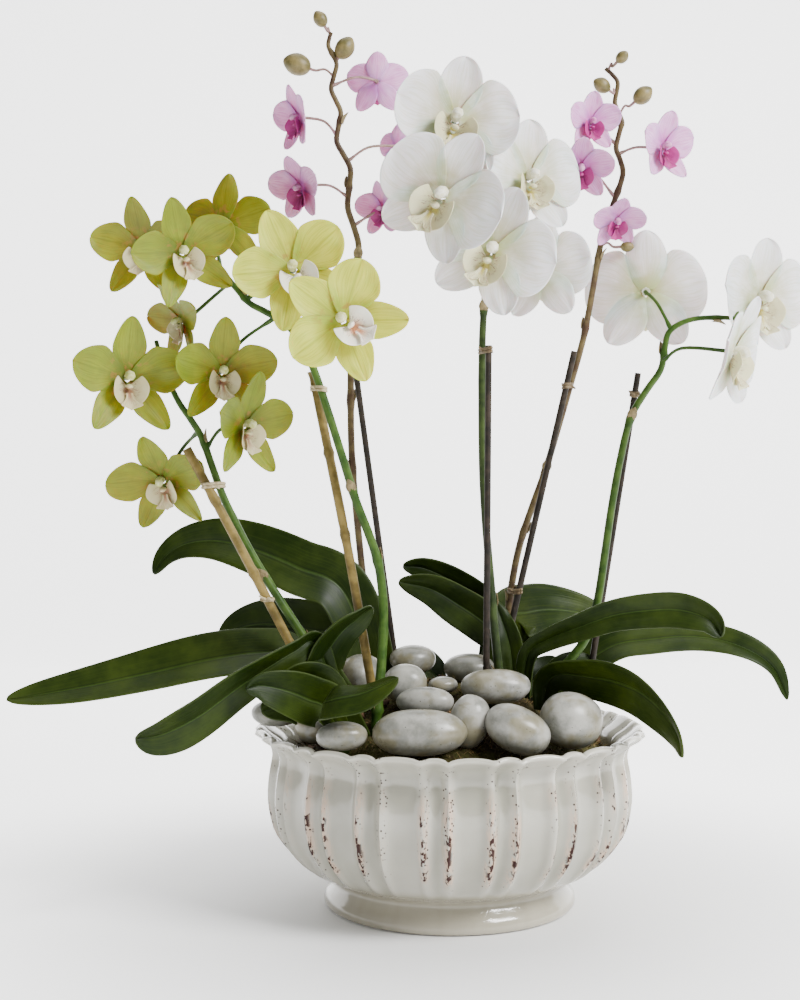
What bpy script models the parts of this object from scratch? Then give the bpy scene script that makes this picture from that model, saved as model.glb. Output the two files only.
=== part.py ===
"""Potted orchids: six Phalaenopsis spikes planted in a fluted, footed ceramic bowl dressed with river stones.

Blender 4.5, metres, +Z up. The origin is the centre of the bowl's flat underside.
Places across the bowl are in rim radii, and heights of the plants are measured from the rim, so the
planting follows the bowl when the bowl changes.
"""

import math

import bpy
from mathutils import Matrix, Vector

# ---- driving dimensions ----

RIM_RADIUS = 0.140         # to the tips of the scalloped rim
RIM_HEIGHT = 0.128
WALL = 0.006
FLUTES = 16
FLUTE_DEPTH = 0.0022
RIM_WAVE = 0.0016
NECK_INSET = 0.0125        # how far each level of the body lies inside the rim
SHOULDER_INSET = 0.0115
BELLY_INSET = 0.0095
UNDER_BELLY_INSET = 0.0135
LOWER_INSET = 0.0210
CURVE_INSET = 0.0320
WAIST_RADIUS = 0.086
FOOT_RADIUS = 0.090
FOOT_HEIGHT = 0.020
FLOOR_HEIGHT = 0.030       # inside floor of the bowl

BED_EDGE_DROP = 0.022      # moss at the wall, below the rim
BED_CROWN_RISE = 0.030     # moss at the middle, above the rim
MOSS_DEPTH = 0.022
ROOT_DEPTH = 0.032         # how deep stems and stakes stand in the mix

STEM_RADIUS = 0.0030
STEM_TIP_RADIUS = 0.0016
PEDICEL_RADIUS = 0.0014
PEDICEL_ROOT_RADIUS = 0.0009
BAMBOO_RADIUS = 0.0035
STAKE_RADIUS = 0.0020
LEAF_THICKNESS = 0.0022
PETAL_THICKNESS = 0.0012
YELLOW_SIZE = 0.043        # flower centre to petal tip
WHITE_SIZE = 0.046
PINK_SIZE = 0.025

GAP = 0.0003               # clearance between pieces that touch
WALL_GAP = 0.0004          # clearance of mix and moss inside the wall, measured level

BOWL_SIDES = FLUTES * 4
BED_SIDES = FLUTES * 2
BED_RINGS = 8
BED_TIP = 0.2              # the small ring that closes the dome, in ring widths
TUBE_SIDES = 6
PEDICEL_SIDES = 5

# ---- colours: linear RGB, roughness ----

COLOURS = {
    "glaze": ((0.62, 0.60, 0.53), 0.25),
    "potting_mix": ((0.09, 0.06, 0.04), 0.95),
    "moss": ((0.10, 0.09, 0.04), 0.95),
    "stone": ((0.52, 0.50, 0.44), 0.45),
    "leaf": ((0.04, 0.11, 0.03), 0.35),
    "green_stem": ((0.10, 0.22, 0.05), 0.45),
    "brown_stem": ((0.09, 0.05, 0.04), 0.50),
    "bamboo": ((0.38, 0.27, 0.12), 0.55),
    "dark_stake": ((0.05, 0.03, 0.03), 0.60),
    "yellow_petal": ((0.62, 0.66, 0.22), 0.50),
    "white_petal": ((0.85, 0.86, 0.84), 0.50),
}


# ---- general helpers ----

def clear_scene():
    for thing in list(bpy.data.objects):
        bpy.data.objects.remove(thing, do_unlink=True)


def material(name):
    made = bpy.data.materials.get(name)
    if made:
        return made
    colour, roughness = COLOURS[name]
    made = bpy.data.materials.new(name)
    made.use_nodes = True
    shader = made.node_tree.nodes["Principled BSDF"]
    shader.inputs["Base Color"].default_value = (*colour, 1.0)
    shader.inputs["Roughness"].default_value = roughness
    shader.inputs["Metallic"].default_value = 0.0
    return made


def add_object(name, points, faces, finish, sharp_angle=50.0):
    mesh = bpy.data.meshes.new(name)
    mesh.from_pydata([tuple(p) for p in points], [], faces)
    mesh.materials.append(material(finish))
    mesh.shade_smooth()
    mesh.set_sharp_from_angle(angle=math.radians(sharp_angle))
    thing = bpy.data.objects.new(name, mesh)
    bpy.context.scene.collection.objects.link(thing)
    return thing


def add_guide(name, shapes, finish):
    """A hidden object that holds several closed shapes, for a Boolean."""
    points = []
    faces = []
    for shape_points, shape_faces in shapes:
        start = len(points)
        points.extend(shape_points)
        faces.extend([tuple(i + start for i in face) for face in shape_faces])
    guide = add_object(name, points, faces, finish)
    guide.hide_render = True
    guide.display_type = "WIRE"
    return guide


def add_boolean(thing, guide, operation):
    modifier = thing.modifiers.new(guide.name, "BOOLEAN")
    modifier.operation = operation
    modifier.solver = "EXACT"
    modifier.object = guide


def closed_rings(rings):
    """Points and faces of a closed skin through equal rings, each counter-clockwise seen from its end."""
    points = [p for ring in rings for p in ring]
    sides = len(rings[0])
    faces = [tuple(reversed(range(sides)))]
    for level in range(len(rings) - 1):
        low = level * sides
        for i in range(sides):
            j = (i + 1) % sides
            faces.append((low + i, low + j, low + sides + j, low + sides + i))
    top = (len(rings) - 1) * sides
    faces.append(tuple(range(top, top + sides)))
    return points, faces


def circle(radius, height, sides):
    turns = [2.0 * math.pi * i / sides for i in range(sides)]
    return [Vector((radius * math.cos(a), radius * math.sin(a), height)) for a in turns]


def smooth_path(knots, steps):
    """Points of a smooth curve through the knots, with a number of steps between each pair."""
    ends = [knots[0] * 2.0 - knots[1]] + list(knots) + [knots[-1] * 2.0 - knots[-2]]
    path = []
    for i in range(1, len(ends) - 2):
        before, start, end, after = ends[i - 1:i + 3]
        for step in range(steps):
            t = step / steps
            path.append(0.5 * (
                2.0 * start
                + (end - before) * t
                + (2.0 * before - 5.0 * start + 4.0 * end - after) * t * t
                + (3.0 * start - before - 3.0 * end + after) * t ** 3
            ))
    path.append(knots[-1].copy())
    return path


def directions(path):
    """Unit tangent at each point of a path."""
    last = len(path) - 1
    return [(path[min(i + 1, last)] - path[max(i - 1, 0)]).normalized() for i in range(last + 1)]


def carried_normals(path, first):
    """Normals along a path that keep the first one's side without twisting."""
    tangents = directions(path)
    normal = (first - tangents[0] * first.dot(tangents[0])).normalized()
    normals = [normal]
    for before, after in zip(tangents, tangents[1:]):
        normal = before.rotation_difference(after) @ normal
        normal = (normal - after * normal.dot(after)).normalized()
        normals.append(normal)
    return tangents, normals


def tube(path, radii, sides=TUBE_SIDES):
    tangents, normals = carried_normals(path, Vector((0.31, 0.95, 0.07)))
    rings = []
    for point, tangent, normal, radius in zip(path, tangents, normals, radii):
        side = tangent.cross(normal)
        ring = []
        for i in range(sides):
            turn = 2.0 * math.pi * i / sides
            ring.append(point + (normal * math.cos(turn) + side * math.sin(turn)) * radius)
        rings.append(ring)
    return closed_rings(rings)


def tapered(path, start, end):
    last = len(path) - 1
    return [start + (end - start) * i / last for i in range(last + 1)]


# ---- bowl ----

def body_profile():
    """Height, radius and flute depth of the bowl's outside, from the foot to the rim."""
    return [
        (0.0, FOOT_RADIUS - 0.002, 0.0),
        (0.004, FOOT_RADIUS, 0.0),
        (FOOT_HEIGHT - 0.004, WAIST_RADIUS, 0.0),
        (FOOT_HEIGHT, WAIST_RADIUS, 0.0),
        (RIM_HEIGHT * 0.21, RIM_RADIUS - CURVE_INSET - 0.009, 0.4),
        (RIM_HEIGHT * 0.26, RIM_RADIUS - CURVE_INSET, 0.7),
        (RIM_HEIGHT * 0.34, RIM_RADIUS - LOWER_INSET, 1.0),
        (RIM_HEIGHT * 0.44, RIM_RADIUS - UNDER_BELLY_INSET, 1.0),
        (RIM_HEIGHT * 0.60, RIM_RADIUS - BELLY_INSET, 1.0),
        (RIM_HEIGHT * 0.78, RIM_RADIUS - SHOULDER_INSET, 1.0),
        (RIM_HEIGHT * 0.87, RIM_RADIUS - NECK_INSET, 0.7),
        (RIM_HEIGHT * 0.94, RIM_RADIUS - NECK_INSET * 0.5, 0.7),
        (RIM_HEIGHT, RIM_RADIUS, 0.9),
    ]


def inner_profile():
    """Height and radius of the cavity, from the floor to the lip."""
    levels = [(z, r) for z, r, _ in body_profile() if z > FLOOR_HEIGHT]
    floor = (FLOOR_HEIGHT, levels[0][1] - WALL - FLUTE_DEPTH - 0.010)
    return [floor] + [(z, r - WALL - FLUTE_DEPTH) for z, r in levels]


def flute_wave(turn):
    """1 on the raised ridges, 0 in the hollow of each flute."""
    return abs(math.cos(turn * FLUTES / 2.0))


def planter_bowl():
    rings = []
    for height, radius, strength in body_profile():
        ring = []
        for i in range(BOWL_SIDES):
            turn = 2.0 * math.pi * i / BOWL_SIDES
            dip = (1.0 - flute_wave(turn)) * strength
            lift = -RIM_WAVE * (1.0 - flute_wave(turn)) if height >= RIM_HEIGHT else 0.0
            r = radius - FLUTE_DEPTH * dip
            ring.append(Vector((r * math.cos(turn), r * math.sin(turn), height + lift)))
        rings.append(ring)
    lip = rings[-1]
    inside = [circle(radius, height, BOWL_SIDES) for height, radius in reversed(inner_profile())]
    for inner, outer in zip(inside[0], lip):
        inner.z = outer.z - 0.0006
    points, faces = closed_rings(rings + inside)
    return add_object("planter_bowl", points, faces, "glaze", 40.0)


# ---- bed ----

def cavity_radius(height):
    levels = inner_profile()
    for (z0, r0), (z1, r1) in zip(levels, levels[1:]):
        if z0 <= height <= z1:
            return r0 + (r1 - r0) * (height - z0) / (z1 - z0)
    return levels[-1][1]


BED_EDGE = RIM_HEIGHT - BED_EDGE_DROP
BED_CROWN = RIM_HEIGHT + BED_CROWN_RISE
MOSS_FLOOR = BED_EDGE - MOSS_DEPTH


def bed_height(x, y):
    """Height of the moss surface: a low dome that falls to its edge at the wall."""
    reach = min(1.0, math.hypot(x, y) / (cavity_radius(BED_EDGE) - WALL_GAP))
    return BED_EDGE + (BED_CROWN - BED_EDGE) * (1.0 - reach * reach)


def seat_levels(low, high):
    """Cavity heights from low to high, with the profile's own levels between them."""
    between = [z for z, _ in inner_profile() if low + 0.001 < z < high - 0.001]
    return [low] + between + [high]


def potting_mix(cutters):
    top = MOSS_FLOOR - GAP
    rings = [circle(cavity_radius(z) - WALL_GAP, z, BED_SIDES) for z in seat_levels(FLOOR_HEIGHT + GAP, top)]
    points, faces = closed_rings(rings)
    thing = add_object("potting_mix", points, faces, "potting_mix")
    add_boolean(thing, cutters, "DIFFERENCE")
    return thing


def moss_bed(cutters):
    rings = [circle(cavity_radius(z) - WALL_GAP, z, BED_SIDES) for z in seat_levels(MOSS_FLOOR, BED_EDGE)]
    edge = cavity_radius(BED_EDGE) - WALL_GAP
    for level in list(range(BED_RINGS - 1, 0, -1)) + [BED_TIP]:
        radius = edge * level / BED_RINGS
        rings.append(circle(radius, bed_height(radius, 0.0), BED_SIDES))
    points, faces = closed_rings(rings)
    thing = add_object("moss_bed", points, faces, "moss")
    add_boolean(thing, cutters, "DIFFERENCE")
    return thing


def ground(x, y):
    """Height of what lies under a point: moss, then the flare of the wall, then the rim."""
    reach = math.hypot(x, y)
    if reach > RIM_RADIUS:
        return 0.0
    levels = inner_profile()
    for (z0, r0), (z1, r1) in zip(levels, levels[1:]):
        if z0 >= BED_EDGE and r0 <= reach <= r1:
            return z0 + (z1 - z0) * (reach - r0) / (r1 - r0)
    return RIM_HEIGHT if reach > levels[-1][1] else bed_height(x, y)


def settle(points):
    """Lift or lower points so that the lowest of them clears the moss or the rim by the gap."""
    rise = max(ground(p.x, p.y) - p.z for p in points) + GAP
    for p in points:
        p.z += rise


# ---- stones ----

# Place across the bowl in rim radii, then length, depth and height, then turn about Z and tilt about Y.
STONES = {
    "stone_left_rim": ((-0.84, -0.21), (0.036, 0.030, 0.019), (10, 0)),
    "stone_left_front": ((-0.72, -0.45), (0.026, 0.030, 0.024), (30, 0)),
    "stone_front_left": ((-0.49, -0.68), (0.036, 0.026, 0.020), (12, 0)),
    "stone_front_long": ((-0.15, -0.66), (0.062, 0.036, 0.031), (0, 0)),
    "stone_round": ((-0.23, -0.30), (0.031, 0.028, 0.028), (0, 0)),
    "stone_back_flat": ((-0.19, 0.05), (0.035, 0.028, 0.022), (15, 0)),
    "stone_back_left": ((-0.43, -0.12), (0.034, 0.030, 0.032), (40, -20)),
    "stone_middle_long": ((-0.13, -0.45), (0.038, 0.021, 0.019), (-10, 0)),
    "stone_middle_small": ((-0.04, -0.24), (0.022, 0.018, 0.012), (20, 0)),
    "stone_back_centre": ((0.10, 0.02), (0.038, 0.030, 0.021), (0, 0)),
    "stone_centre_oval": ((0.22, -0.33), (0.050, 0.032, 0.025), (5, 0)),
    "stone_front_narrow": ((0.09, -0.53), (0.024, 0.024, 0.032), (0, 15)),
    "stone_front_oval": ((0.30, -0.67), (0.046, 0.036, 0.031), (-5, 25)),
    "stone_front_round": ((0.61, -0.55), (0.043, 0.038, 0.037), (30, 10)),
}
STONE_SIDES = 12
STONE_BANDS = 7


def stone(name):
    (x, y), size, (turn, tilt) = STONES[name]
    pose = Matrix.Rotation(math.radians(turn), 3, "Z") @ Matrix.Rotation(math.radians(tilt), 3, "Y")
    rings = []
    for band in range(1, STONE_BANDS):
        lift = math.pi * band / STONE_BANDS
        ring = []
        for level in circle(math.sin(lift), -math.cos(lift), STONE_SIDES):
            across = pose @ Vector([u * s * 0.5 for u, s in zip(level, size)])
            ring.append(across + Vector((x * RIM_RADIUS, y * RIM_RADIUS, 0.0)))
        rings.append(ring)
    points, faces = closed_rings(rings)
    settle(points)
    return add_object(name, points, faces, "stone")


# ---- leaves ----

# Spine from root to tip: x and y in rim radii and height above the rim (the root's own height is the moss);
# then the width and the tilt of the upper face towards the front.
LEAVES = {
    "leaf_left_arching": ([(-0.46, 0.10), (-0.58, 0.10, 0.090), (-0.84, 0.24, 0.124), (-1.24, 0.38, 0.139),
                           (-1.58, 0.34, 0.105)], 0.050, 22),
    "leaf_left_back": ([(-0.52, 0.30), (-0.78, 0.34, 0.072), (-1.00, 0.40, 0.078), (-1.24, 0.44, 0.058)],
                       0.060, 45),
    "leaf_left_long": ([(-0.66, -0.06), (-1.00, -0.12, 0.060), (-1.36, -0.21, 0.050), (-1.80, -0.30, 0.042),
                        (-2.20, -0.34, 0.030)], 0.050, 20),
    "leaf_left_low": ([(-0.54, -0.44), (-0.64, -0.50, 0.050), (-0.81, -0.58, 0.072), (-1.02, -0.70, 0.050),
                       (-1.26, -0.80, 0.030), (-1.48, -0.84, 0.008)], 0.044, 15),
    "leaf_left_upright": ([(-0.47, -0.33), (-0.53, -0.36, 0.054), (-0.49, -0.37, 0.072), (-0.42, -0.37, 0.086)],
                          0.028, 75),
    "leaf_left_wide": ([(-0.52, -0.55), (-0.64, -0.64, 0.035), (-0.80, -0.74, 0.039), (-0.94, -0.80, 0.038)],
                       0.028, 60),
    "leaf_small_front": ([(-0.42, -0.52), (-0.38, -0.64, 0.036), (-0.33, -0.74, 0.040), (-0.26, -0.80, 0.038)],
                         0.024, 20),
    "leaf_centre_low": ([(0.17, 0.28), (0.08, 0.26, 0.068), (-0.06, 0.24, 0.086), (-0.27, 0.22, 0.099)],
                        0.036, 40),
    "leaf_centre_high": ([(0.20, 0.48), (0.08, 0.46, 0.080), (-0.09, 0.42, 0.106), (-0.24, 0.40, 0.112)],
                         0.040, 40),
    "leaf_right_back": ([(0.38, 0.32), (0.43, 0.40, 0.074), (0.64, 0.52, 0.080), (0.84, 0.57, 0.066),
                         (0.95, 0.58, 0.050)], 0.060, 50),
    "leaf_right_arching": ([(0.37, -0.06), (0.52, -0.12, 0.060), (0.73, -0.19, 0.076), (0.97, -0.24, 0.086),
                            (1.22, -0.28, 0.085), (1.36, -0.32, 0.066)], 0.038, 22),
    "leaf_right_long": ([(0.56, 0.28), (0.88, 0.30, 0.054), (1.20, 0.30, 0.062), (1.48, 0.28, 0.055),
                         (1.68, 0.26, 0.040), (1.79, 0.24, 0.009)], 0.038, 22),
    "leaf_right_front": ([(0.46, -0.22), (0.72, -0.40, 0.048), (0.90, -0.60, 0.044), (1.01, -0.76, 0.028),
                          (1.07, -0.86, -0.002)], 0.052, 25),
}
LEAF_STEPS = 2
ROOT_PASSES = 3            # rounds in which a leaf's root finds its seat on the moss
LEAF_FOLD = 0.12           # rise of the leaf's edges, as a share of its half width
LEAF_ROOT_SHARE = 0.34     # width at the root, as a share of the full width


def leaf_width(t):
    """Share of the full width at a place from root (0) to tip (1)."""
    body = LEAF_ROOT_SHARE + (1.0 - LEAF_ROOT_SHARE) * math.sin(0.5 * math.pi * min(1.0, t / 0.55))
    point = math.sqrt(max(0.0, 1.0 - max(0.0, (t - 0.55) / 0.46) ** 2.2))
    return body * point


def plant_point(place):
    """A place in rim radii and height above the rim, or on the moss where no height is given."""
    x, y = place[0] * RIM_RADIUS, place[1] * RIM_RADIUS
    return Vector((x, y, RIM_HEIGHT + place[2] if len(place) > 2 else bed_height(x, y)))


def leaf(name):
    spine, width, tilt = LEAVES[name]
    knots = [plant_point(place) for place in spine]
    face_up = Vector((0.0, -math.sin(math.radians(tilt)), math.cos(math.radians(tilt))))
    for _ in range(ROOT_PASSES):
        rings = leaf_rings(smooth_path(knots, LEAF_STEPS), width, face_up)
        knots[0].z += max(ground(p.x, p.y) - p.z for p in rings[0]) + GAP
    points, faces = closed_rings(rings)
    settle(points)
    return add_object(name, points, faces, "leaf")


def leaf_rings(path, width, face_up):
    """Six-sided sections of a thin folded blade, from root to tip."""
    tangents, normals = carried_normals(path, face_up)
    rings = []
    for i, (point, tangent, normal) in enumerate(zip(path, tangents, normals)):
        half = 0.5 * width * leaf_width(i / (len(path) - 1))
        side = tangent.cross(normal) * half
        rise = normal * half * LEAF_FOLD
        under = normal * LEAF_THICKNESS
        rim = under * 0.5
        ring = [point + side + rise, point, point - side + rise]
        ring += [point - side + rise - rim, point - under, point + side + rise - rim]
        rings.append(list(reversed(ring)))
    return rings


# ---- flowers ----

# Place in metres from the spike's root and height above the rim; azimuth (0 to the front, 90 to the right) and
# elevation of the way it faces; roll of its top to the left; size share; where its pedicel leaves the spike.
FLOWERS = {
    "yellow_tall": {
        "flower_yellow_01": ((-0.055, -0.016, 0.316), (8, 5), 25, 1.00, 0.73),
        "flower_yellow_02": ((-0.021, -0.046, 0.280), (10, 0), 55, 1.00, 0.51),
        "flower_yellow_03": ((-0.130, -0.008, 0.329), (25, -10), 20, 0.90, 0.93),
        "flower_yellow_04": ((-0.164, 0.034, 0.337), (-15, -10), 0, 0.85, 0.985),
        "flower_yellow_05": ((-0.108, 0.046, 0.356), (165, 5), 0, 0.85, 0.87),
        "flower_yellow_07": ((-0.106, 0.014, 0.250), (20, -10), 0, 0.90, 0.62),
        "flower_yellow_10": ((-0.136, 0.030, 0.286), (-50, -20), 0, 0.70, 0.80),
    },
    "yellow_low": {
        "flower_yellow_06": ((-0.140, -0.026, 0.245), (25, -5), 0, 1.00, 0.85),
        "flower_yellow_08": ((-0.120, 0.000, 0.175), (-10, -25), 10, 0.90, 0.62),
        "flower_yellow_09": ((-0.060, -0.026, 0.213), (50, -10), 0, 0.90, 0.57),
    },
    "white_centre": {
        "flower_white_01": ((-0.034, -0.020, 0.424), (8, 5), -11, 1.00, 0.985),
        "flower_white_02": ((-0.043, -0.060, 0.366), (-20, -10), -35, 1.02, 0.81),
        "flower_white_03": ((-0.009, -0.044, 0.331), (-12, -5), -25, 1.00, 0.56),
        "flower_white_04": ((0.019, 0.002, 0.388), (25, 0), 0, 0.92, 0.75),
        "flower_white_05": ((0.029, 0.030, 0.327), (150, 0), 0, 0.88, 0.58),
    },
    "white_right": {
        "flower_white_06": ((0.070, 0.022, 0.311), (172, 0), 0, 1.02, 0.78),
        "flower_white_07": ((0.116, -0.062, 0.262), (60, -15), 0, 0.90, 0.67),
        "flower_white_08": ((0.148, 0.002, 0.305), (30, -10), 0, 0.96, 0.985),
    },
    "pink_left": {
        "flower_pink_01": ((-0.057, -0.008, 0.438), (-60, -10), 0, 1.00, 0.615),
        "flower_pink_02": ((-0.055, -0.018, 0.386), (-40, -20), 0, 1.00, 0.46),
        "flower_pink_03": ((-0.001, 0.008, 0.468), (175, 0), 0, 1.00, 0.77),
        "flower_pink_04": ((0.014, 0.012, 0.421), (150, 0), 0, 0.80, 0.54),
        "flower_pink_05": ((0.004, 0.004, 0.374), (-40, -10), 0, 0.85, 0.40),
    },
    "pink_right": {
        "flower_pink_06": ((0.060, 0.000, 0.435), (20, -5), 0, 0.90, 0.69),
        "flower_pink_07": ((0.052, -0.010, 0.401), (0, -30), 0, 1.00, 0.56),
        "flower_pink_08": ((0.112, -0.004, 0.416), (30, -5), 0, 1.05, 0.66),
        "flower_pink_09": ((0.078, -0.010, 0.363), (10, -40), 0, 0.85, 0.515),
    },
}
FLOWER_LOBES = 5
VALLEY = 0.42              # distance from the centre to the gap between petals, as a share of the size
CUP = 0.10                 # how far petal tips come forward, as a share of the size
LIP = 0.26                 # how far lip and column come forward, as a share of the size


def facing_frame(facing, roll):
    """Right, up and forward of a flower, as the columns of a matrix."""
    turn, lift = math.radians(facing[0]), math.radians(facing[1])
    forward = Vector((math.sin(turn) * math.cos(lift), -math.cos(turn) * math.cos(lift), math.sin(lift)))
    right = Vector((math.cos(turn), math.sin(turn), 0.0))
    up = forward.cross(right)
    spun = math.radians(roll)
    right, up = right * math.cos(spun) + up * math.sin(spun), up * math.cos(spun) - right * math.sin(spun)
    return Matrix((right, up, forward)).transposed()


def flower_shape(centre, facing, roll, size, sides):
    """A closed five-lobed dish with a raised middle; its flat back is centred on the given point."""
    frame = facing_frame(facing, roll)
    rings = []
    levels = [(0.10, 0.0), (1.0, CUP * size), (1.0, CUP * size + PETAL_THICKNESS)]
    levels += [(0.30, CUP * size * 0.1 + PETAL_THICKNESS * 1.5), (0.12, LIP * size)]
    for share, height in levels:
        ring = []
        for i in range(sides):
            turn = 2.0 * math.pi * i / sides + 0.5 * math.pi
            lobe = abs(math.cos(0.5 * FLOWER_LOBES * (turn - 0.5 * math.pi))) ** 0.7
            reach = size * share * (VALLEY + (1.0 - VALLEY) * lobe if share == 1.0 else 1.0)
            ring.append(centre + frame @ Vector((reach * math.cos(turn), reach * math.sin(turn), height)))
        rings.append(ring)
    return closed_rings(rings)


def flower(name, spike_name):
    place, facing, roll, share, _ = FLOWERS[spike_name][name]
    size = (YELLOW_SIZE if "yellow" in name else WHITE_SIZE) * share
    points, faces = flower_shape(spike_place(spike_name, place), facing, roll, size, 20)
    return add_object(name, points, faces, "yellow_petal" if "yellow" in name else "white_petal")


# ---- spikes ----

# Root in rim radii; then the stem's places in metres from its root, with the height above the rim.
SPIKES = {
    "yellow_tall": ((-0.370, -0.420), [(0.002, 0.001, 0.031), (0.005, 0.006, 0.079), (0.001, 0.009, 0.120),
                    (-0.014, 0.007, 0.162), (-0.031, 0.003, 0.217), (-0.049, 0.001, 0.267),
                    (-0.068, 0.002, 0.286), (-0.086, 0.007, 0.296), (-0.101, 0.014, 0.313),
                    (-0.112, 0.022, 0.324), (-0.133, 0.028, 0.318)], "green_stem"),
    "yellow_low": ((-0.580, -0.200), [(-0.004, -0.002, 0.038), (-0.024, -0.006, 0.070), (-0.055, -0.009, 0.120),
                   (-0.077, -0.012, 0.165), (-0.091, -0.015, 0.205), (-0.106, -0.014, 0.228),
                   (-0.117, -0.008, 0.250), (-0.124, -0.002, 0.272)], "green_stem"),
    "pink_left": ((-0.370, 0.250), [(-0.008, 0.000, 0.075), (-0.018, 0.000, 0.174), (-0.020, 0.000, 0.233),
                  (-0.019, 0.000, 0.307), (-0.014, -0.003, 0.346), (-0.022, -0.005, 0.374),
                  (-0.020, -0.005, 0.402), (-0.030, -0.005, 0.422), (-0.027, -0.005, 0.443),
                  (-0.034, -0.005, 0.460), (-0.030, -0.005, 0.478), (-0.036, -0.005, 0.491),
                  (-0.034, -0.005, 0.501)], "brown_stem"),
    "white_centre": ((0.260, -0.085), [(-0.004, 0.000, 0.061), (-0.007, 0.000, 0.097), (-0.013, 0.000, 0.175),
                     (-0.014, -0.004, 0.266), (-0.012, -0.006, 0.308), (-0.009, -0.004, 0.357),
                     (-0.010, 0.002, 0.393), (-0.018, 0.008, 0.418)], "brown_stem"),
    "pink_right": ((0.310, 0.190), [(0.001, 0.001, 0.079), (0.010, 0.003, 0.130), (0.028, 0.003, 0.182),
                   (0.046, 0.003, 0.244), (0.057, 0.003, 0.285), (0.067, 0.003, 0.342), (0.072, 0.003, 0.363),
                   (0.084, 0.003, 0.398), (0.079, 0.003, 0.417), (0.083, 0.003, 0.436),
                   (0.078, 0.003, 0.450), (0.080, 0.003, 0.465), (0.071, 0.003, 0.475)], "brown_stem"),
    "white_right": ((0.530, 0.030), [(0.006, 0.000, 0.037), (0.022, 0.000, 0.057), (0.033, 0.000, 0.090),
                    (0.042, -0.002, 0.154), (0.055, -0.006, 0.219), (0.075, -0.014, 0.253),
                    (0.080, -0.017, 0.279), (0.100, -0.019, 0.289), (0.131, -0.019, 0.289)], "green_stem"),
}
# Bud centre from the spike's root, its radius, and the place of its pedicel on the spike.
BUDS = {
    "pink_left": [((-0.059, -0.005, 0.478), 0.0105, 0.80), ((-0.024, -0.005, 0.490), 0.0090, 0.85),
                  ((-0.042, -0.005, 0.511), 0.0065, 0.985)],
    "pink_right": [((0.082, -0.006, 0.481), 0.0055, 0.985), ((0.068, 0.000, 0.462), 0.0070, 0.87),
                   ((0.098, 0.000, 0.455), 0.0080, 0.79), ((0.087, 0.000, 0.345), 0.0050, 0.45)],
}
STEM_STEPS = 2


def spike_place(spike_name, place):
    root = SPIKES[spike_name][0]
    return Vector((root[0] * RIM_RADIUS + place[0], root[1] * RIM_RADIUS + place[1], RIM_HEIGHT + place[2]))


def spike_path(spike_name):
    root = SPIKES[spike_name][0]
    x, y = root[0] * RIM_RADIUS, root[1] * RIM_RADIUS
    surface = bed_height(x, y)
    above = smooth_path([Vector((x, y, surface + 0.002))]
                        + [spike_place(spike_name, place) for place in SPIKES[spike_name][1]], STEM_STEPS)
    return [Vector((x, y, surface - ROOT_DEPTH))] + above


def hole_around(path, radius):
    """A cutter that follows the buried end of a stem or stake with the standing gap."""
    down = (path[0] - path[1]).normalized()
    start, end = path[0] + down * GAP, path[1]
    over = end + (end - start).normalized() * 0.012
    return tube([start, over], [radius + GAP * 1.2] * 2)


def pedicel(start, end, forward):
    """A thin curved stalk that arrives at a flower's back along the way the flower faces."""
    away = end - forward * (end - start).length * 0.4
    knots = [start, start.lerp(away, 0.55) + Vector((0.0, 0.0, 0.003)), end - forward * 0.006, end]
    return tube(knots, [PEDICEL_ROOT_RADIUS] + [PEDICEL_RADIUS] * 3, PEDICEL_SIDES)


def place_on(path, share):
    spot = 1.0 + share * (len(path) - 2)
    index = min(int(spot), len(path) - 2)
    return path[index].lerp(path[index + 1], spot - index)


def ball(centre, radius):
    rings = []
    for band in range(1, 5):
        lift = math.pi * band / 5
        rings.append([centre + p for p in circle(radius * math.sin(lift), -radius * math.cos(lift) * 1.1, 8)])
    return closed_rings(rings)


def spike(name):
    path = spike_path(name)
    radii = [STEM_RADIUS, STEM_RADIUS] + tapered(path[2:], STEM_RADIUS, STEM_TIP_RADIUS)
    points, faces = tube(path, radii)
    finish = SPIKES[name][2]
    thing = add_object("spike_" + name, points, faces, finish)
    stalks = []
    blooms = []
    for bloom, (place, facing, roll, share, where) in FLOWERS[name].items():
        centre = spike_place(name, place)
        forward = facing_frame(facing, roll).col[2]
        joined = "pink" in bloom
        end = centre + forward * PETAL_THICKNESS * 0.5 if joined else centre - forward * GAP
        stalks.append(pedicel(place_on(path, where), end, forward))
        if joined:
            blooms.append(flower_shape(centre, facing, roll, PINK_SIZE * share, 10))
    for place, radius, where in BUDS.get(name, []):
        centre = spike_place(name, place)
        start = place_on(path, where)
        knots = [start, start.lerp(centre, 0.5), centre]
        stalks.append(tube(knots, [PEDICEL_ROOT_RADIUS] + [PEDICEL_RADIUS] * 2, PEDICEL_SIDES))
        blooms.append(ball(centre, radius))
    add_boolean(thing, add_guide("stalks_" + name, stalks, finish), "UNION")
    if blooms:
        add_boolean(thing, add_guide("blooms_" + name, blooms, finish), "UNION")
    return hole_around(path, STEM_RADIUS)


# ---- stakes ----

# Foot in rim radii on the moss; top in metres from the foot, with the height above the rim.
STAKES = {
    "bamboo_stake_tall": ((-0.364, -0.300), (-0.044, -0.003, 0.250), "bamboo"),
    "bamboo_stake_low": ((-0.560, -0.300), (-0.103, -0.010, 0.197), "bamboo"),
    "stake_pink_left": ((-0.260, 0.230), (-0.031, -0.010, 0.251), "dark_stake"),
    "stake_white_centre": ((0.180, -0.160), (0.001, -0.008, 0.269), "dark_stake"),
    "stake_pink_right": ((0.250, 0.100), (0.056, 0.004, 0.268), "dark_stake"),
    "stake_white_right": ((0.690, 0.090), (0.040, 0.000, 0.252), "dark_stake"),
}


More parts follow.
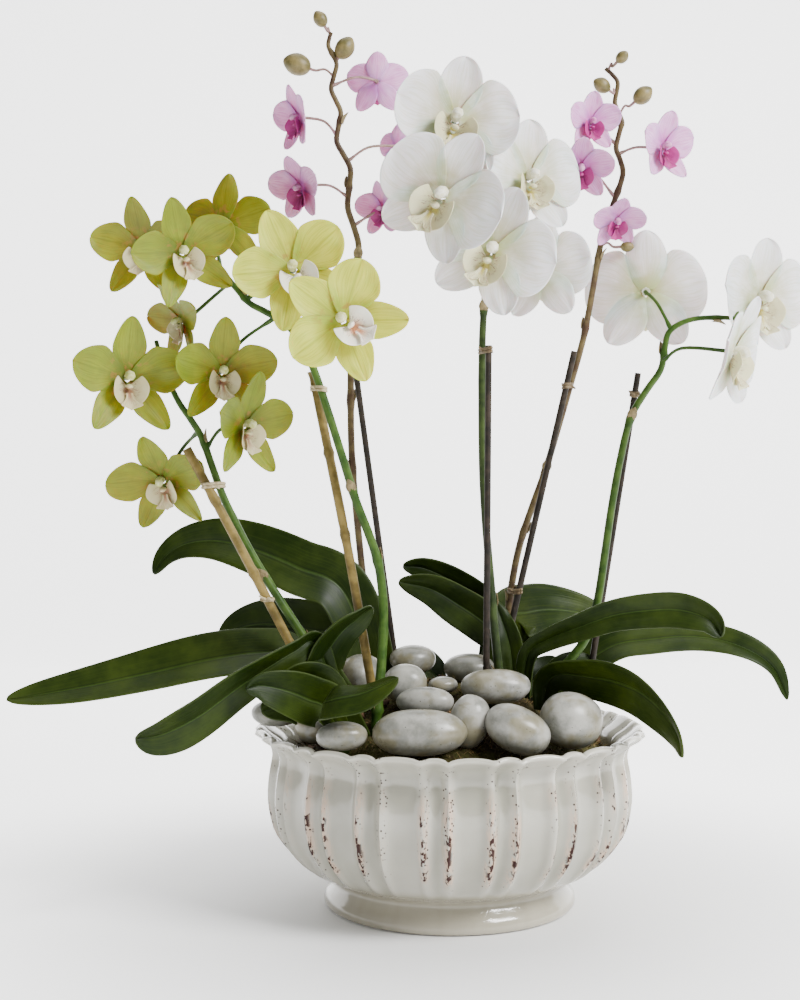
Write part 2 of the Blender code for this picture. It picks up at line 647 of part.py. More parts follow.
def stake(name):
    foot, rise, finish = STAKES[name]
    radius = BAMBOO_RADIUS if finish == "bamboo" else STAKE_RADIUS
    x, y = foot[0] * RIM_RADIUS, foot[1] * RIM_RADIUS
    start = Vector((x, y, bed_height(x, y)))
    top = Vector((x + rise[0], y + rise[1], RIM_HEIGHT + rise[2]))
    lean = (top - start).normalized()
    path = [start - lean * ROOT_DEPTH, start + lean * 0.002, top]
    points, faces = tube(path, [radius] * 3)
    add_object(name, points, faces, finish)
    return hole_around(path, radius)


# ---- assembly ----

def build():
    clear_scene()
    planter_bowl()
    holes = [spike(name) for name in SPIKES]
    holes += [stake(name) for name in STAKES]
    cutters = add_guide("root_holes", holes, "moss")
    potting_mix(cutters)
    moss_bed(cutters)
    for name in STONES:
        stone(name)
    for name in LEAVES:
        leaf(name)
    for spike_name, blooms in FLOWERS.items():
        if "pink" not in spike_name:
            for name in blooms:
                flower(name, spike_name)


build()
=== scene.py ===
import math
import random

import bpy
from mathutils import Matrix, Vector, noise


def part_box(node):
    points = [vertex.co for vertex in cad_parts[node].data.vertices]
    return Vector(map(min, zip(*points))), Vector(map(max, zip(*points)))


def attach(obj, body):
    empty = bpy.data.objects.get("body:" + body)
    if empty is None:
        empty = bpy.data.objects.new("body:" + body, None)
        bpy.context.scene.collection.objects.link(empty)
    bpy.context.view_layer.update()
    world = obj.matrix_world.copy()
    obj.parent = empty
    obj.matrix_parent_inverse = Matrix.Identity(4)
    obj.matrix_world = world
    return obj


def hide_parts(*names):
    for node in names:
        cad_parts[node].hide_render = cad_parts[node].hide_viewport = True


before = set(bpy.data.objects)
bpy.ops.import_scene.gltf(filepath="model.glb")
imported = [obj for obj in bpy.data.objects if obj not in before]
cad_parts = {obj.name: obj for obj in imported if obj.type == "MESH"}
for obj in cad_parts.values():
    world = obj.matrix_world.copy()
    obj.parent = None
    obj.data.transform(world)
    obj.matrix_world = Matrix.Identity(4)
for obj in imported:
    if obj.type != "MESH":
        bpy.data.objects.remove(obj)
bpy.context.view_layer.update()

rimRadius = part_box("planter_bowl")[1][0]
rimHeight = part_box("planter_bowl")[1][2]


def deselectAll():
    for thing in list(bpy.context.selected_objects):
        thing.select_set(False)


# leaves only these selected, the first one active
def pick(*things):
    deselectAll()
    for thing in things:
        thing.select_set(True)
    bpy.context.view_layer.objects.active = things[0]


# the object that an operator has just made
def latest(name=None):
    piece = bpy.context.view_layer.objects.active
    if name:
        piece.name = name
    return piece


def applyModifiers(piece):
    pick(piece)
    for modifier in list(piece.modifiers):
        bpy.ops.object.modifier_apply(modifier=modifier.name)


def settlePlace(piece):
    pick(piece)
    bpy.ops.object.transform_apply(location=True, rotation=True, scale=True)


def smoothShade(piece):
    pick(piece)
    bpy.ops.object.shade_smooth()


# gives a sheet its thickness, and one step of smoothing
def thicken(piece, thickness, offset=0, backMaterial=0, finer=True):
    solid = piece.modifiers.new("thickness", "SOLIDIFY")
    solid.thickness = thickness
    solid.offset = offset
    solid.material_offset = backMaterial
    if finer:
        smoother = piece.modifiers.new("finer", "SUBSURF")
        smoother.levels = smoother.render_levels = 1
    applyModifiers(piece)


def roundOff(piece, angle):
    pick(piece)
    bpy.ops.object.shade_smooth_by_angle(angle=math.radians(angle))


def joinAll(pieces, name):
    pick(*pieces)
    if len(pieces) > 1:
        bpy.ops.object.join()
    whole = latest(name)
    whole.data.name = name
    return whole


def finishPiece(piece, slot, *nodes):
    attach(piece, "root")
    if nodes:
        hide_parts(*nodes)


# a Catmull-Rom curve through the knots
def smoothPath(knots, steps):
    ends = [knots[0] * 2 - knots[1]] + list(knots) + [knots[-1] * 2 - knots[-2]]
    path = []
    for a, b, c, d in zip(ends, ends[1:], ends[2:], ends[3:]):
        for step in range(steps):
            t = step / steps
            path.append(0.5 * (2 * b + (c - a) * t + (2 * a - 5 * b + 4 * c - d) * t * t
                               + (3 * b - a - 3 * c + d) * t ** 3))
    path.append(knots[-1].copy())
    return path


# tangent, side and normal along a path, with no twist
def carriedFrames(path, firstNormal):
    last = len(path) - 1
    tangents = [(path[min(i + 1, last)] - path[max(i - 1, 0)]).normalized() for i in range(last + 1)]
    normal = (firstNormal - tangents[0] * firstNormal.dot(tangents[0])).normalized()
    frames = [(tangents[0], tangents[0].cross(normal), normal)]
    for before, after in zip(tangents, tangents[1:]):
        normal = before.rotation_difference(after) @ normal
        normal = (normal - after * normal.dot(after)).normalized()
        frames.append((after, after.cross(normal), normal))
    return frames


# a tapered round rod as a bevelled curve with filled caps, made a mesh
def rod(name, path, radii, sides):
    curve = bpy.data.curves.new(name, "CURVE")
    curve.dimensions = "3D"
    curve.bevel_depth = 1.0
    curve.bevel_resolution = sides
    curve.use_fill_caps = True
    spline = curve.splines.new("POLY")
    spline.points.add(len(path) - 1)
    for point, place, radius in zip(spline.points, path, radii):
        point.co = (*place, 1)
        point.radius = radius
    piece = bpy.data.objects.new(name, curve)
    bpy.context.scene.collection.objects.link(piece)
    pick(piece)
    bpy.ops.object.convert(target="MESH")
    return latest()


# a grid primitive whose points are placed by shape(u, v), u 0..1 from base to tip and v -1..1 across
def gridPiece(name, across, along, shape):
    deselectAll()
    bpy.ops.mesh.primitive_grid_add(x_subdivisions=along, y_subdivisions=across, size=1)
    piece = latest(name)
    for vertex in piece.data.vertices:
        vertex.co = shape(vertex.co.x + 0.5, vertex.co.y * 2)
    return piece


def four(colour):
    return (*colour, 1.0) if len(colour) == 3 else colour


# a node socket that takes part in Python arithmetic
class Flow:

    def __init__(self, tree, socket):
        self.tree = tree
        self.socket = socket

    def maths(self, operation, *values):
        node = self.tree.nodes.new("ShaderNodeMath")
        node.operation = operation
        for index, value in enumerate(values):
            if isinstance(value, Flow):
                self.tree.links.new(value.socket, node.inputs[index])
            else:
                node.inputs[index].default_value = value
        return Flow(self.tree, node.outputs[0])

    def __add__(self, other): return self.maths("ADD", self, other)
    def __radd__(self, other): return self.maths("ADD", other, self)
    def __sub__(self, other): return self.maths("SUBTRACT", self, other)
    def __rsub__(self, other): return self.maths("SUBTRACT", other, self)
    def __mul__(self, other): return self.maths("MULTIPLY", self, other)
    def __rmul__(self, other): return self.maths("MULTIPLY", other, self)
    def __truediv__(self, other): return self.maths("DIVIDE", self, other)
    def __pow__(self, other): return self.maths("POWER", self, other)
    def __lt__(self, other): return self.maths("LESS_THAN", self, other)

    def least(self, other): return self.maths("MINIMUM", self, other)
    def most(self, other): return self.maths("MAXIMUM", self, other)
    def size(self): return self.maths("ABSOLUTE", self)
    def part(self): return self.maths("FRACT", self)

    # 0 below low, 1 above high, smooth between
    def between(self, low, high):
        node = self.tree.nodes.new("ShaderNodeMapRange")
        node.interpolation_type = "SMOOTHSTEP"
        self.tree.links.new(self.socket, node.inputs["Value"])
        node.inputs["From Min"].default_value = low
        node.inputs["From Max"].default_value = high
        return Flow(self.tree, node.outputs[0])


# a material with one Principled shader, built up node by node
class Finish:

    def __init__(self, name, **plain):
        self.material = bpy.data.materials.new(name)
        self.material.use_nodes = True
        self.tree = self.material.node_tree
        self.shader = self.tree.nodes["Principled BSDF"]
        for socket, value in plain.items():
            self.shader.inputs[socket.replace("_", " ")].default_value = value

    def node(self, kind, settings=None, values=None, out=0):
        made = self.tree.nodes.new(kind)
        for key, value in (settings or {}).items():
            if key == "stops":
                while len(made.color_ramp.elements) < len(value):
                    made.color_ramp.elements.new(0.5)
                for element, (position, colour) in zip(made.color_ramp.elements, value):
                    element.position = position
                    element.color = four(colour)
            else:
                setattr(made, key, value)
        for key, value in (values or {}).items():
            if isinstance(value, Flow):
                self.tree.links.new(value.socket, made.inputs[key])
            else:
                made.inputs[key].default_value = value
        return Flow(self.tree, made.outputs[out])

    def objectPlace(self):
        return self.node("ShaderNodeTexCoord", out=3)

    def uv(self):
        return self.node("ShaderNodeTexCoord", out=2)

    def axes(self, vector):
        split = self.node("ShaderNodeSeparateXYZ", values={0: vector})
        outputs = split.socket.node.outputs
        return [Flow(self.tree, outputs[i]) for i in range(3)]

    def stretch(self, vector, scale):
        return self.node("ShaderNodeVectorMath", {"operation": "MULTIPLY"}, {0: vector, 1: scale})

    def cloud(self, place, scale, detail=3.0, rough=0.55):
        values = {"Vector": place, "Scale": scale, "Detail": detail, "Roughness": rough}
        return self.node("ShaderNodeTexNoise", values=values)

    # streaks that run along a piece's own length
    def streaks(self, along, across, seed, detail, rough=0.55):
        return self.cloud(self.node("ShaderNodeCombineXYZ", values={0: along, 1: across, 2: seed}), 1.0, detail, rough)

    def cells(self, place, scale, feature="F1"):
        return self.node("ShaderNodeTexVoronoi", {"feature": feature}, {"Vector": place, "Scale": scale})

    def blend(self, amount, low, high):
        values = {0: amount, 6: low if isinstance(low, Flow) else four(low),
                  7: high if isinstance(high, Flow) else four(high)}
        return self.node("ShaderNodeMix", {"data_type": "RGBA"}, values, out=2)

    def feed(self, socket, value):
        self.tree.links.new(value.socket, self.shader.inputs[socket])

    def relief(self, height, distance, strength=1.0):
        bump = self.node("ShaderNodeBump", values={"Height": height, "Distance": distance, "Strength": strength})
        self.feed("Normal", bump)


camera = {"place": (-0.0355, -1.146, 0.318), "tilt": 88.53, "lens": 57.6}


def addCamera():
    deselectAll()
    bpy.ops.object.camera_add(location=camera["place"], rotation=(math.radians(camera["tilt"]), 0, 0))
    eye = latest("studioCamera")
    eye.data.lens = camera["lens"]
    eye.data.sensor_width = 36
    bpy.context.scene.camera = eye


addCamera()
print("camera set")


bowl = {
    "flutes": 18, "phase": -0.0105, "narrowShare": 0.37, "ribWidth": 0.088, "ribHeight": 0.0040, "hollow": 0.0018,
    "rimDip": 0.0026, "dipStart": 0.108, "sides": 360, "waistRadius": 0.0838, "footRadius": 0.0902,
}


# radius, height and rib strength up the outside, over the lip and down inside
def bowlProfile():
    r, h, footEdge, waist = rimRadius, rimHeight, bowl["footRadius"], bowl["waistRadius"]
    foot = [(footEdge - 0.006, 0.0, 0), (footEdge - 0.0015, 0.0008, 0), (footEdge, 0.0038, 0),
            (footEdge - 0.0010, 0.0085, 0), (footEdge - 0.0038, 0.0125, 0), (waist + 0.0002, 0.0168, 0)]
    body = [(waist + 0.0006, 0.0200, 0), (waist + 0.0060, 0.0235, 0.0),
            (r - 0.0405, 0.0272, 0.15), (r - 0.0305, 0.0340, 0.5),
            (r - 0.0210, 0.0440, 0.9), (r - 0.0135, 0.0565, 1.0), (r - 0.0095, 0.0770, 1.0),
            (r - 0.0105, 0.0950, 1.0), (r - 0.0128, 0.1090, 1.0), (r - 0.0105, 0.1170, 0.9),
            (r - 0.0045, h - 0.0062, 0.75), (r - 0.0008, h - 0.0032, 0.5)]
    lip = [(r - 0.0008, h - 0.0012, 0.4), (r - 0.0030, h, 0.3), (r - 0.0056, h - 0.0010, 0.3),
           (r - 0.0092, h - 0.0056, 0.6), (r - 0.0160, 0.1160, 0.9), (r - 0.0192, 0.1070, 0.6),
           (r - 0.0185, 0.0960, 0.2)]
    inside = [(r - 0.0175, 0.0780, 0), (r - 0.0230, 0.0560, 0), (r - 0.0420, 0.0400, 0), (0.060, 0.0320, 0)]
    return smoothPath([Vector(k) for k in foot + body + lip + inside], 3)


# 1 on a rib and 0 in the panels, and how far into its panel a place is
def ribStrength(turn):
    u = ((turn + bowl["phase"]) * bowl["flutes"] / (2 * math.pi)) % 1.0
    narrow = bowl["narrowShare"]
    away = min(u, 1 - u, abs(u - narrow))
    rib = math.exp(-((away / bowl["ribWidth"]) ** 2))
    inPanel = u / narrow if u < narrow else (u - narrow) / (1 - narrow)
    return rib, math.sin(math.pi * inPanel)


def makeBowl():
    profile = bowlProfile()
    deselectAll()
    bpy.ops.mesh.primitive_circle_add(vertices=3, radius=0.01)
    piece = latest("glazedBowl")
    bpy.ops.object.mode_set(mode="EDIT")
    bpy.ops.mesh.delete(type="VERT")
    bpy.ops.object.mode_set(mode="OBJECT")
    mesh = piece.data
    mesh.vertices.add(len(profile))
    mesh.edges.add(len(profile) - 1)
    for vertex, point in zip(mesh.vertices, profile):
        vertex.co = (point.x, 0, point.y)
    for i, edge in enumerate(mesh.edges):
        edge.vertices = (i, i + 1)
    bpy.ops.object.mode_set(mode="EDIT")
    bpy.ops.mesh.select_all(action="SELECT")
    bpy.ops.mesh.spin(steps=bowl["sides"], angle=2 * math.pi, center=(0, 0, 0), axis=(0, 0, 1))
    bpy.ops.mesh.select_all(action="SELECT")
    bpy.ops.mesh.remove_doubles(threshold=0.00002)
    bpy.ops.mesh.select_all(action="DESELECT")
    bpy.ops.mesh.select_non_manifold()
    bpy.ops.mesh.edge_face_add()
    bpy.ops.mesh.select_all(action="SELECT")
    bpy.ops.mesh.normals_make_consistent(inside=False)
    bpy.ops.object.mode_set(mode="OBJECT")
    for vertex in mesh.vertices:
        x, y, z = vertex.co
        reach = math.hypot(x, y)
        if reach < 0.001:
            continue
        near = min(profile, key=lambda p: (p.x - reach) ** 2 + (p.y - z) ** 2)
        rib, inPanel = ribStrength(math.atan2(y, x))
        change = near.z * (bowl["ribHeight"] * (rib - 1) - bowl["hollow"] * inPanel)
        toRim = (z - bowl["dipStart"]) / (rimHeight - bowl["dipStart"])
        drop = bowl["rimDip"] * (1 - inPanel ** 0.5) * max(0.0, toRim) ** 2
        scale = (reach + change) / reach
        vertex.co = (x * scale, y * scale, z - drop)
    roundOff(piece, 60)
    return piece


# warm off-white crackle glaze, rubbed tan on the ribs and chipped to red-brown clay low on the body, with painted
# shade in the narrow channels and at the waist and painted highlights on the ribs and the lip top
def glazeFinish():
    finish = Finish("crackleGlaze", Roughness=0.2, Coat_Weight=0.5, Coat_Roughness=0.08, Specular_IOR_Level=0.5)
    place = finish.objectPlace()
    x, y, z = finish.axes(place)
    turn = x.maths("ARCTAN2", y, x) + (bowl["phase"] + 2 * math.pi)
    u = (turn * (bowl["flutes"] / (2 * math.pi))).part()
    away = u.least(1 - u).least((u - bowl["narrowShare"]).size())
    wobble = finish.cloud(place, 60, 2)
    rib = 1 - (away + (wobble - 0.5) * 0.05).between(0.03, 0.12)
    tone = finish.cloud(place, 14, 4)
    # painted shade: the narrow channel between each pair of ribs is darkened
    channelShade = (u < bowl["narrowShare"]) * away.between(0.08, 0.18)
    base = finish.blend(tone.between(0.3, 0.75), (0.40, 0.385, 0.325), (0.30, 0.295, 0.235))
    base = finish.blend(channelShade * 0.4, base, (0.23, 0.225, 0.17))
    # painted highlight: the ribs are lightened
    base = finish.blend(rib * 0.35, base, (0.52, 0.50, 0.43))
    # painted highlight: a lighter band along the top of the lip
    base = finish.blend(z.between(0.121, 0.127) * 0.6, base, (0.54, 0.52, 0.44))
    base = finish.blend((1 - z.between(0.014, 0.036)) * 0.85, base, (0.42, 0.385, 0.295))
    # painted shade: a dark band at the waist, under the overhang of the body
    base = finish.blend(z.between(0.016, 0.021) * (1 - z.between(0.024, 0.036)) * 0.45, base, (0.22, 0.20, 0.14))
    crackle = finish.cells(finish.stretch(place, (1.0, 1.0, 0.8)), 190, "DISTANCE_TO_EDGE")
    lines = 1 - crackle.between(0.0, 0.05)
    base = finish.blend(lines * 0.08, base, (0.36, 0.30, 0.22))
    patch = finish.cloud(finish.stretch(place, (1.0, 1.0, 0.5)), 30, 2)
    worn = z.between(0.035, 0.046) * (1 - z.between(0.084, 0.116)) * patch.between(0.34, 0.54)
    streak = finish.cloud(finish.stretch(place, (1.0, 1.0, 0.18)), 300, 4, 0.75)
    tan = rib * worn * streak.between(0.40, 0.56)
    base = finish.blend(tan * 0.75, base, (0.56, 0.36, 0.24))
    fine = finish.cloud(finish.stretch(place, (1.0, 1.0, 0.55)), 560, 2, 0.6)
    dash = finish.cloud(finish.stretch(place, (1.0, 1.0, 0.28)), 300, 2, 0.6)
    core = 1 - (away + (wobble - 0.5) * 0.07).between(0.02, 0.075)
    low = z.between(0.038, 0.045) * (1 - z.between(0.070, 0.094))
    chips = (dash * 0.6 + fine * 0.4 + core * worn * low * 0.16).between(0.592, 0.606) * core * worn.between(0.12, 0.3)
    chips = chips * finish.cloud(finish.stretch(place, (1.0, 1.0, 0.8)), 210, 2, 0.6).between(0.44, 0.50)
    dots = (1 - finish.cells(place, 330).between(0.17, 0.25)) * finish.cloud(place, 26, 2).between(0.43, 0.52)
    dots = dots * (rib * 0.9 + 0.06).between(0.2, 0.6) * z.between(0.032, 0.042)
    rimDots = 1 - finish.cells(finish.stretch(place, (0.6, 0.6, 1.6)), 120).between(0.08, 0.14)
    rimDots = rimDots * z.between(0.112, 0.117) * (1 - z.between(0.121, 0.124)) * patch.between(0.40, 0.48)
    dark = chips.most(dots).most(rimDots)
    base = finish.blend(dark, base, (0.026, 0.004, 0.002))
    finish.feed("Base Color", base)
    finish.feed("Roughness", dark * 0.5 + tan * 0.25 + tone * 0.08 + 0.10)
    finish.feed("Coat Weight", (1 - dark) * 0.6)
    finish.relief(0 - dark * 1.0 - tan * 0.25 - lines * 0.05 + tone * 0.3, 0.0006, 0.8)
    return finish.material


bowlPiece = makeBowl()
bowlPiece.data.materials.append(glazeFinish())
finishPiece(bowlPiece, "glaze", "planter_bowl")
print("bowl made")


def bedHeight(x, y):
    reach = min(1.0, math.hypot(x, y) / (rimRadius - 0.0206))
    return rimHeight - 0.022 + 0.052 * (1 - reach * reach)


# where something stands on the bed, from a place in rim radii
def bedPoint(root, above=0.0):
    spot = Vector((root[0] * rimRadius, root[1] * rimRadius, 0))
    spot.z = bedHeight(spot.x, spot.y) + above
    return spot


def plantPoint(place):
    return Vector((place[0] * rimRadius, place[1] * rimRadius, rimHeight + place[2]))


stones = {   # length, depth, height in metres, then turn and tilt in degrees and how light it is: partly the stone's own tone, partly painted shade, darker at the left and back
    "stone_left_rim": (.036, .03, .019, 10, 0, .55), "stone_left_front": (.026, .03, .024, 30, 0, .5),
    "stone_front_left": (.036, .026, .02, 12, 0, .75), "stone_front_long": (.062, .036, .031, 0, 0, .8),
    "stone_round": (.031, .028, .028, 0, 0, .7), "stone_back_flat": (.035, .028, .022, 15, 0, .6),
    "stone_back_left": (.034, .03, .032, 40, -20, .55), "stone_middle_long": (.038, .021, .019, -10, 0, .8),
    "stone_middle_small": (.022, .018, .012, 20, 0, .6), "stone_back_centre": (.038, .03, .021, 0, 0, .65),
    "stone_centre_oval": (.05, .032, .025, 5, 0, 1), "stone_front_narrow": (.024, .024, .032, 0, 15, .85),
    "stone_front_oval": (.046, .036, .031, -5, 25, .9), "stone_front_round": (.043, .038, .037, 30, 10, .85),
}
stoneNudges = {   # how far each has worked its way across or into the moss, in metres
    "stone_front_narrow": (-.002, -.01, -.012), "stone_front_long": (-.002, -.003, -.007),
    "stone_front_left": (-.005, 0, .003), "stone_left_front": (.007, 0, .004), "stone_left_rim": (-.005, 0, .006),
    "stone_back_flat": (0, .004, .006), "stone_back_left": (-.003, 0, .002),
    "stone_front_round": (-.006, .002, .005),
}
stoneSwell = {   # how much larger than usual
    "stone_front_narrow": 1.16, "stone_front_round": 1.06, "stone_back_left": 1.1, "stone_middle_long": 1.08,
    "stone_front_long": 1.04,
}


def stoneFinish(name, light):
    finish = Finish(name, Specular_IOR_Level=0.45)
    place = finish.objectPlace()
    cloud = finish.cloud(place, 55, 5, 0.6)
    # a low lightness darkens the whole stone, partly its own tone and partly painted shade for the stones at the left
    # and back
    pale = tuple(0.14 + 0.24 * light + shift for shift in (0.0, -0.006, -0.040))
    shade = tuple(0.07 + 0.13 * light + shift for shift in (0.0, 0.001, -0.022))
    base = finish.blend(cloud.between(0.38, 0.62), shade, pale)
    stain = finish.cloud(place, 38, 3, 0.6).between(0.46, 0.60)
    base = finish.blend(stain * 0.6, base, (0.17, 0.145, 0.065))
    veins = finish.cloud(finish.stretch(place, (1.0, 1.0, 3.0)), 90, 4, 0.7).between(0.60, 0.66)
    base = finish.blend(veins * 0.35, base, (0.16, 0.13, 0.07))
    flecks = (1 - finish.cells(place, 260).between(0.06, 0.13)) * finish.cloud(place, 60, 1).between(0.52, 0.60)
    base = finish.blend(flecks * 0.85, base, (0.022, 0.020, 0.010))
    finish.feed("Base Color", base)
    finish.feed("Roughness", cloud * 0.2 + 0.20)
    finish.relief(cloud * 0.5 + finish.cloud(place, 420, 3) * 0.15 - flecks * 0.2, 0.0007, 0.6)
    return finish.material


def makeStone(name, spec, number):
    length, depth, height, turn, tilt, light = spec
    low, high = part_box(name)
    centre = [(a + b) / 2 for a, b in zip(low, high)]
    deselectAll()
    bpy.ops.mesh.primitive_uv_sphere_add(segments=56, ring_count=30, radius=0.5)
    piece = latest(name + "_looks")
    for vertex in piece.data.vertices:
        p = vertex.co * 2
        seed = Vector((number * 3.7, number * 1.3, 0))
        swell = 1 + 0.07 * noise.noise(p * 0.6 + seed) + 0.012 * noise.noise(p * 2.0 + seed)
        flat = [math.copysign(abs(c) ** 0.93, c) for c in p]
        vertex.co = Vector((flat[0] * length / 2, flat[1] * depth / 2, flat[2] * height / 2)) * swell * 0.97
    piece.scale = [stoneSwell.get(name, 1.0)] * 3
    piece.rotation_euler = (0, math.radians(tilt), math.radians(turn))
    piece.location = [a + b for a, b in zip(centre, stoneNudges.get(name, (0, 0, 0)))]
    settlePlace(piece)
    smoothShade(piece)
    piece.data.materials.append(stoneFinish(name + "_finish", light))
    finishPiece(piece, "stone", name)


for number, (name, spec) in enumerate(stones.items()):
    makeStone(name, spec, number)
print("stones made")

moss = {"radius": rimRadius - 0.0212, "grain": 150, "tufts": 2600, "tuftReach": 0.114, "chips": 70, "chipReach": 0.108,
        "seed": 7}


def mossFinish():
    finish = Finish("mossAndBark", Roughness=0.9, Specular_IOR_Level=0.15)
    place = finish.objectPlace()
    patch = finish.cloud(place, 28, 4, 0.65)
    fine = finish.cloud(place, 260, 4, 0.7)
    base = finish.node("ShaderNodeValToRGB", {"stops": [
        (0.36, (0.012, 0.007, 0.004)), (0.46, (0.040, 0.026, 0.010)), (0.56, (0.050, 0.052, 0.012)),
        (0.68, (0.11, 0.070, 0.034))]}, {0: patch * 0.5 + fine * 0.5})
    straw = finish.cloud(finish.stretch(place, (1.0, 0.25, 1.0)), 420, 2, 0.7).between(0.60, 0.70)
    base = finish.blend(straw * 0.6, base, (0.23, 0.17, 0.09))
    finish.feed("Base Color", base)
    finish.relief(fine, 0.0025, 1.0)
    return finish.material


def barkFinish():
    finish = Finish("barkChip", Roughness=0.85, Specular_IOR_Level=0.2)
    place = finish.objectPlace()
    grain = finish.cloud(finish.stretch(place, (1.0, 0.3, 1.0)), 300, 4, 0.7)
    base = finish.blend(grain.between(0.35, 0.65), (0.035, 0.018, 0.010), (0.13, 0.075, 0.040))
    finish.feed("Base Color", base)
    finish.relief(grain, 0.001, 0.8)
    return finish.material


def mossGround(x, y):
    lump = noise.noise(Vector((x * 70, y * 70, 3))) * 0.0032 + noise.noise(Vector((x * 210, y * 210, 9))) * 0.0016
    reach = math.hypot(x, y) / moss["radius"]
    return bedHeight(x, y) + lump - 0.0005 - 0.006 * reach ** 2


def makeMoss():
    rng = random.Random(moss["seed"])
    deselectAll()
    bpy.ops.mesh.primitive_grid_add(x_subdivisions=moss["grain"], y_subdivisions=moss["grain"], size=2)
    bed = latest()
    for vertex in bed.data.vertices:
        a, b = vertex.co.x, vertex.co.y
        reach = max(abs(a), abs(b))
        spread = reach / math.hypot(a, b) * moss["radius"] if reach > 1e-6 else 0
        x, y = a * spread, b * spread
        vertex.co = (x, y, mossGround(x, y) - (0.006 if reach > 0.995 else 0))
    bed.data.materials.append(mossFinish())
    pieces = [bed]
    bark = barkFinish()
    for _ in range(moss["chips"]):
        turn, reach = rng.uniform(0, 2 * math.pi), math.sqrt(rng.random()) * moss["chipReach"]
        x, y = math.cos(turn) * reach, math.sin(turn) * reach
        deselectAll()
        bpy.ops.mesh.primitive_cube_add(size=1)
        chip = latest()
        bpy.ops.object.mode_set(mode="EDIT")
        bpy.ops.mesh.subdivide(number_cuts=2)
        bpy.ops.object.mode_set(mode="OBJECT")
        size = (rng.uniform(0.006, 0.016), rng.uniform(0.004, 0.009), rng.uniform(0.002, 0.005))
        for vertex in chip.data.vertices:
            shake = noise.noise(vertex.co * 2.1 + Vector((x * 900, y * 900, 0))) * 0.5
            vertex.co = [c * s * (1 + shake) for c, s in zip(vertex.co, size)]
        chip.rotation_euler = (rng.uniform(-0.5, 0.5), rng.uniform(-0.5, 0.5), rng.uniform(0, 6.3))
        chip.location = (x, y, mossGround(x, y) + 0.0008)
        settlePlace(chip)
        chip.data.materials.append(bark)
        pieces.append(chip)
    piece = joinAll(pieces, "mossBedLooks")
    smoothShade(piece)
    finishPiece(piece, "moss", "moss_bed")


def makeTufts():
    rng = random.Random(moss["seed"] + 1)
    strands, faces = [], []
    for _ in range(moss["tufts"]):
        turn, reach = rng.uniform(0, 2 * math.pi), math.sqrt(rng.random()) * moss["tuftReach"]
        start = Vector((math.cos(turn) * reach, math.sin(turn) * reach, 0))
        start.z = mossGround(start.x, start.y) - 0.001
        lean = Vector((rng.uniform(-1, 1), rng.uniform(-1, 1), rng.uniform(0.15, 1.1))).normalized()
        length = rng.uniform(0.004, 0.014)
        bend = Vector((rng.uniform(-1, 1), rng.uniform(-1, 1), -0.3)) * length * 0.4
        wide = lean.cross(Vector((rng.uniform(-1, 1), rng.uniform(-1, 1), rng.uniform(-1, 1)))).normalized()
        high = lean.cross(wide)
        first = len(strands)
        for share in (0.0, 0.5, 1.0):
            spot = start + lean * length * share + bend * share * share
            girth = rng.uniform(0.00022, 0.00048) * (1.05 - share)
            for k in range(3):
                angle = k * 2.0944
                strands.append(spot + (wide * math.cos(angle) + high * math.sin(angle)) * girth)
        for ring in (0, 3):
            for k in range(3):
                a, b = first + ring + k, first + ring + (k + 1) % 3
                faces.append((a, b, b + 3, a + 3))
        faces.append((first + 2, first + 1, first))
        faces.append((first + 6, first + 7, first + 8))
    mesh = bpy.data.meshes.new("mossFibres")
    mesh.from_pydata([tuple(s) for s in strands], [], faces)
    piece = bpy.data.objects.new("mossFibres", mesh)
    bpy.context.scene.collection.objects.link(piece)
    finish = Finish("fibre", Roughness=0.8, Specular_IOR_Level=0.2)
    cloud = finish.cloud(finish.objectPlace(), 300, 2)
    finish.feed("Base Color", finish.node("ShaderNodeValToRGB", {"stops": [
        (0.36, (0.030, 0.040, 0.008)), (0.5, (0.085, 0.065, 0.022)), (0.64, (0.21, 0.135, 0.055))]}, {0: cloud}))
    piece.data.materials.append(finish.material)
    finishPiece(piece, "moss")


makeMoss()
makeTufts()
print("moss made")

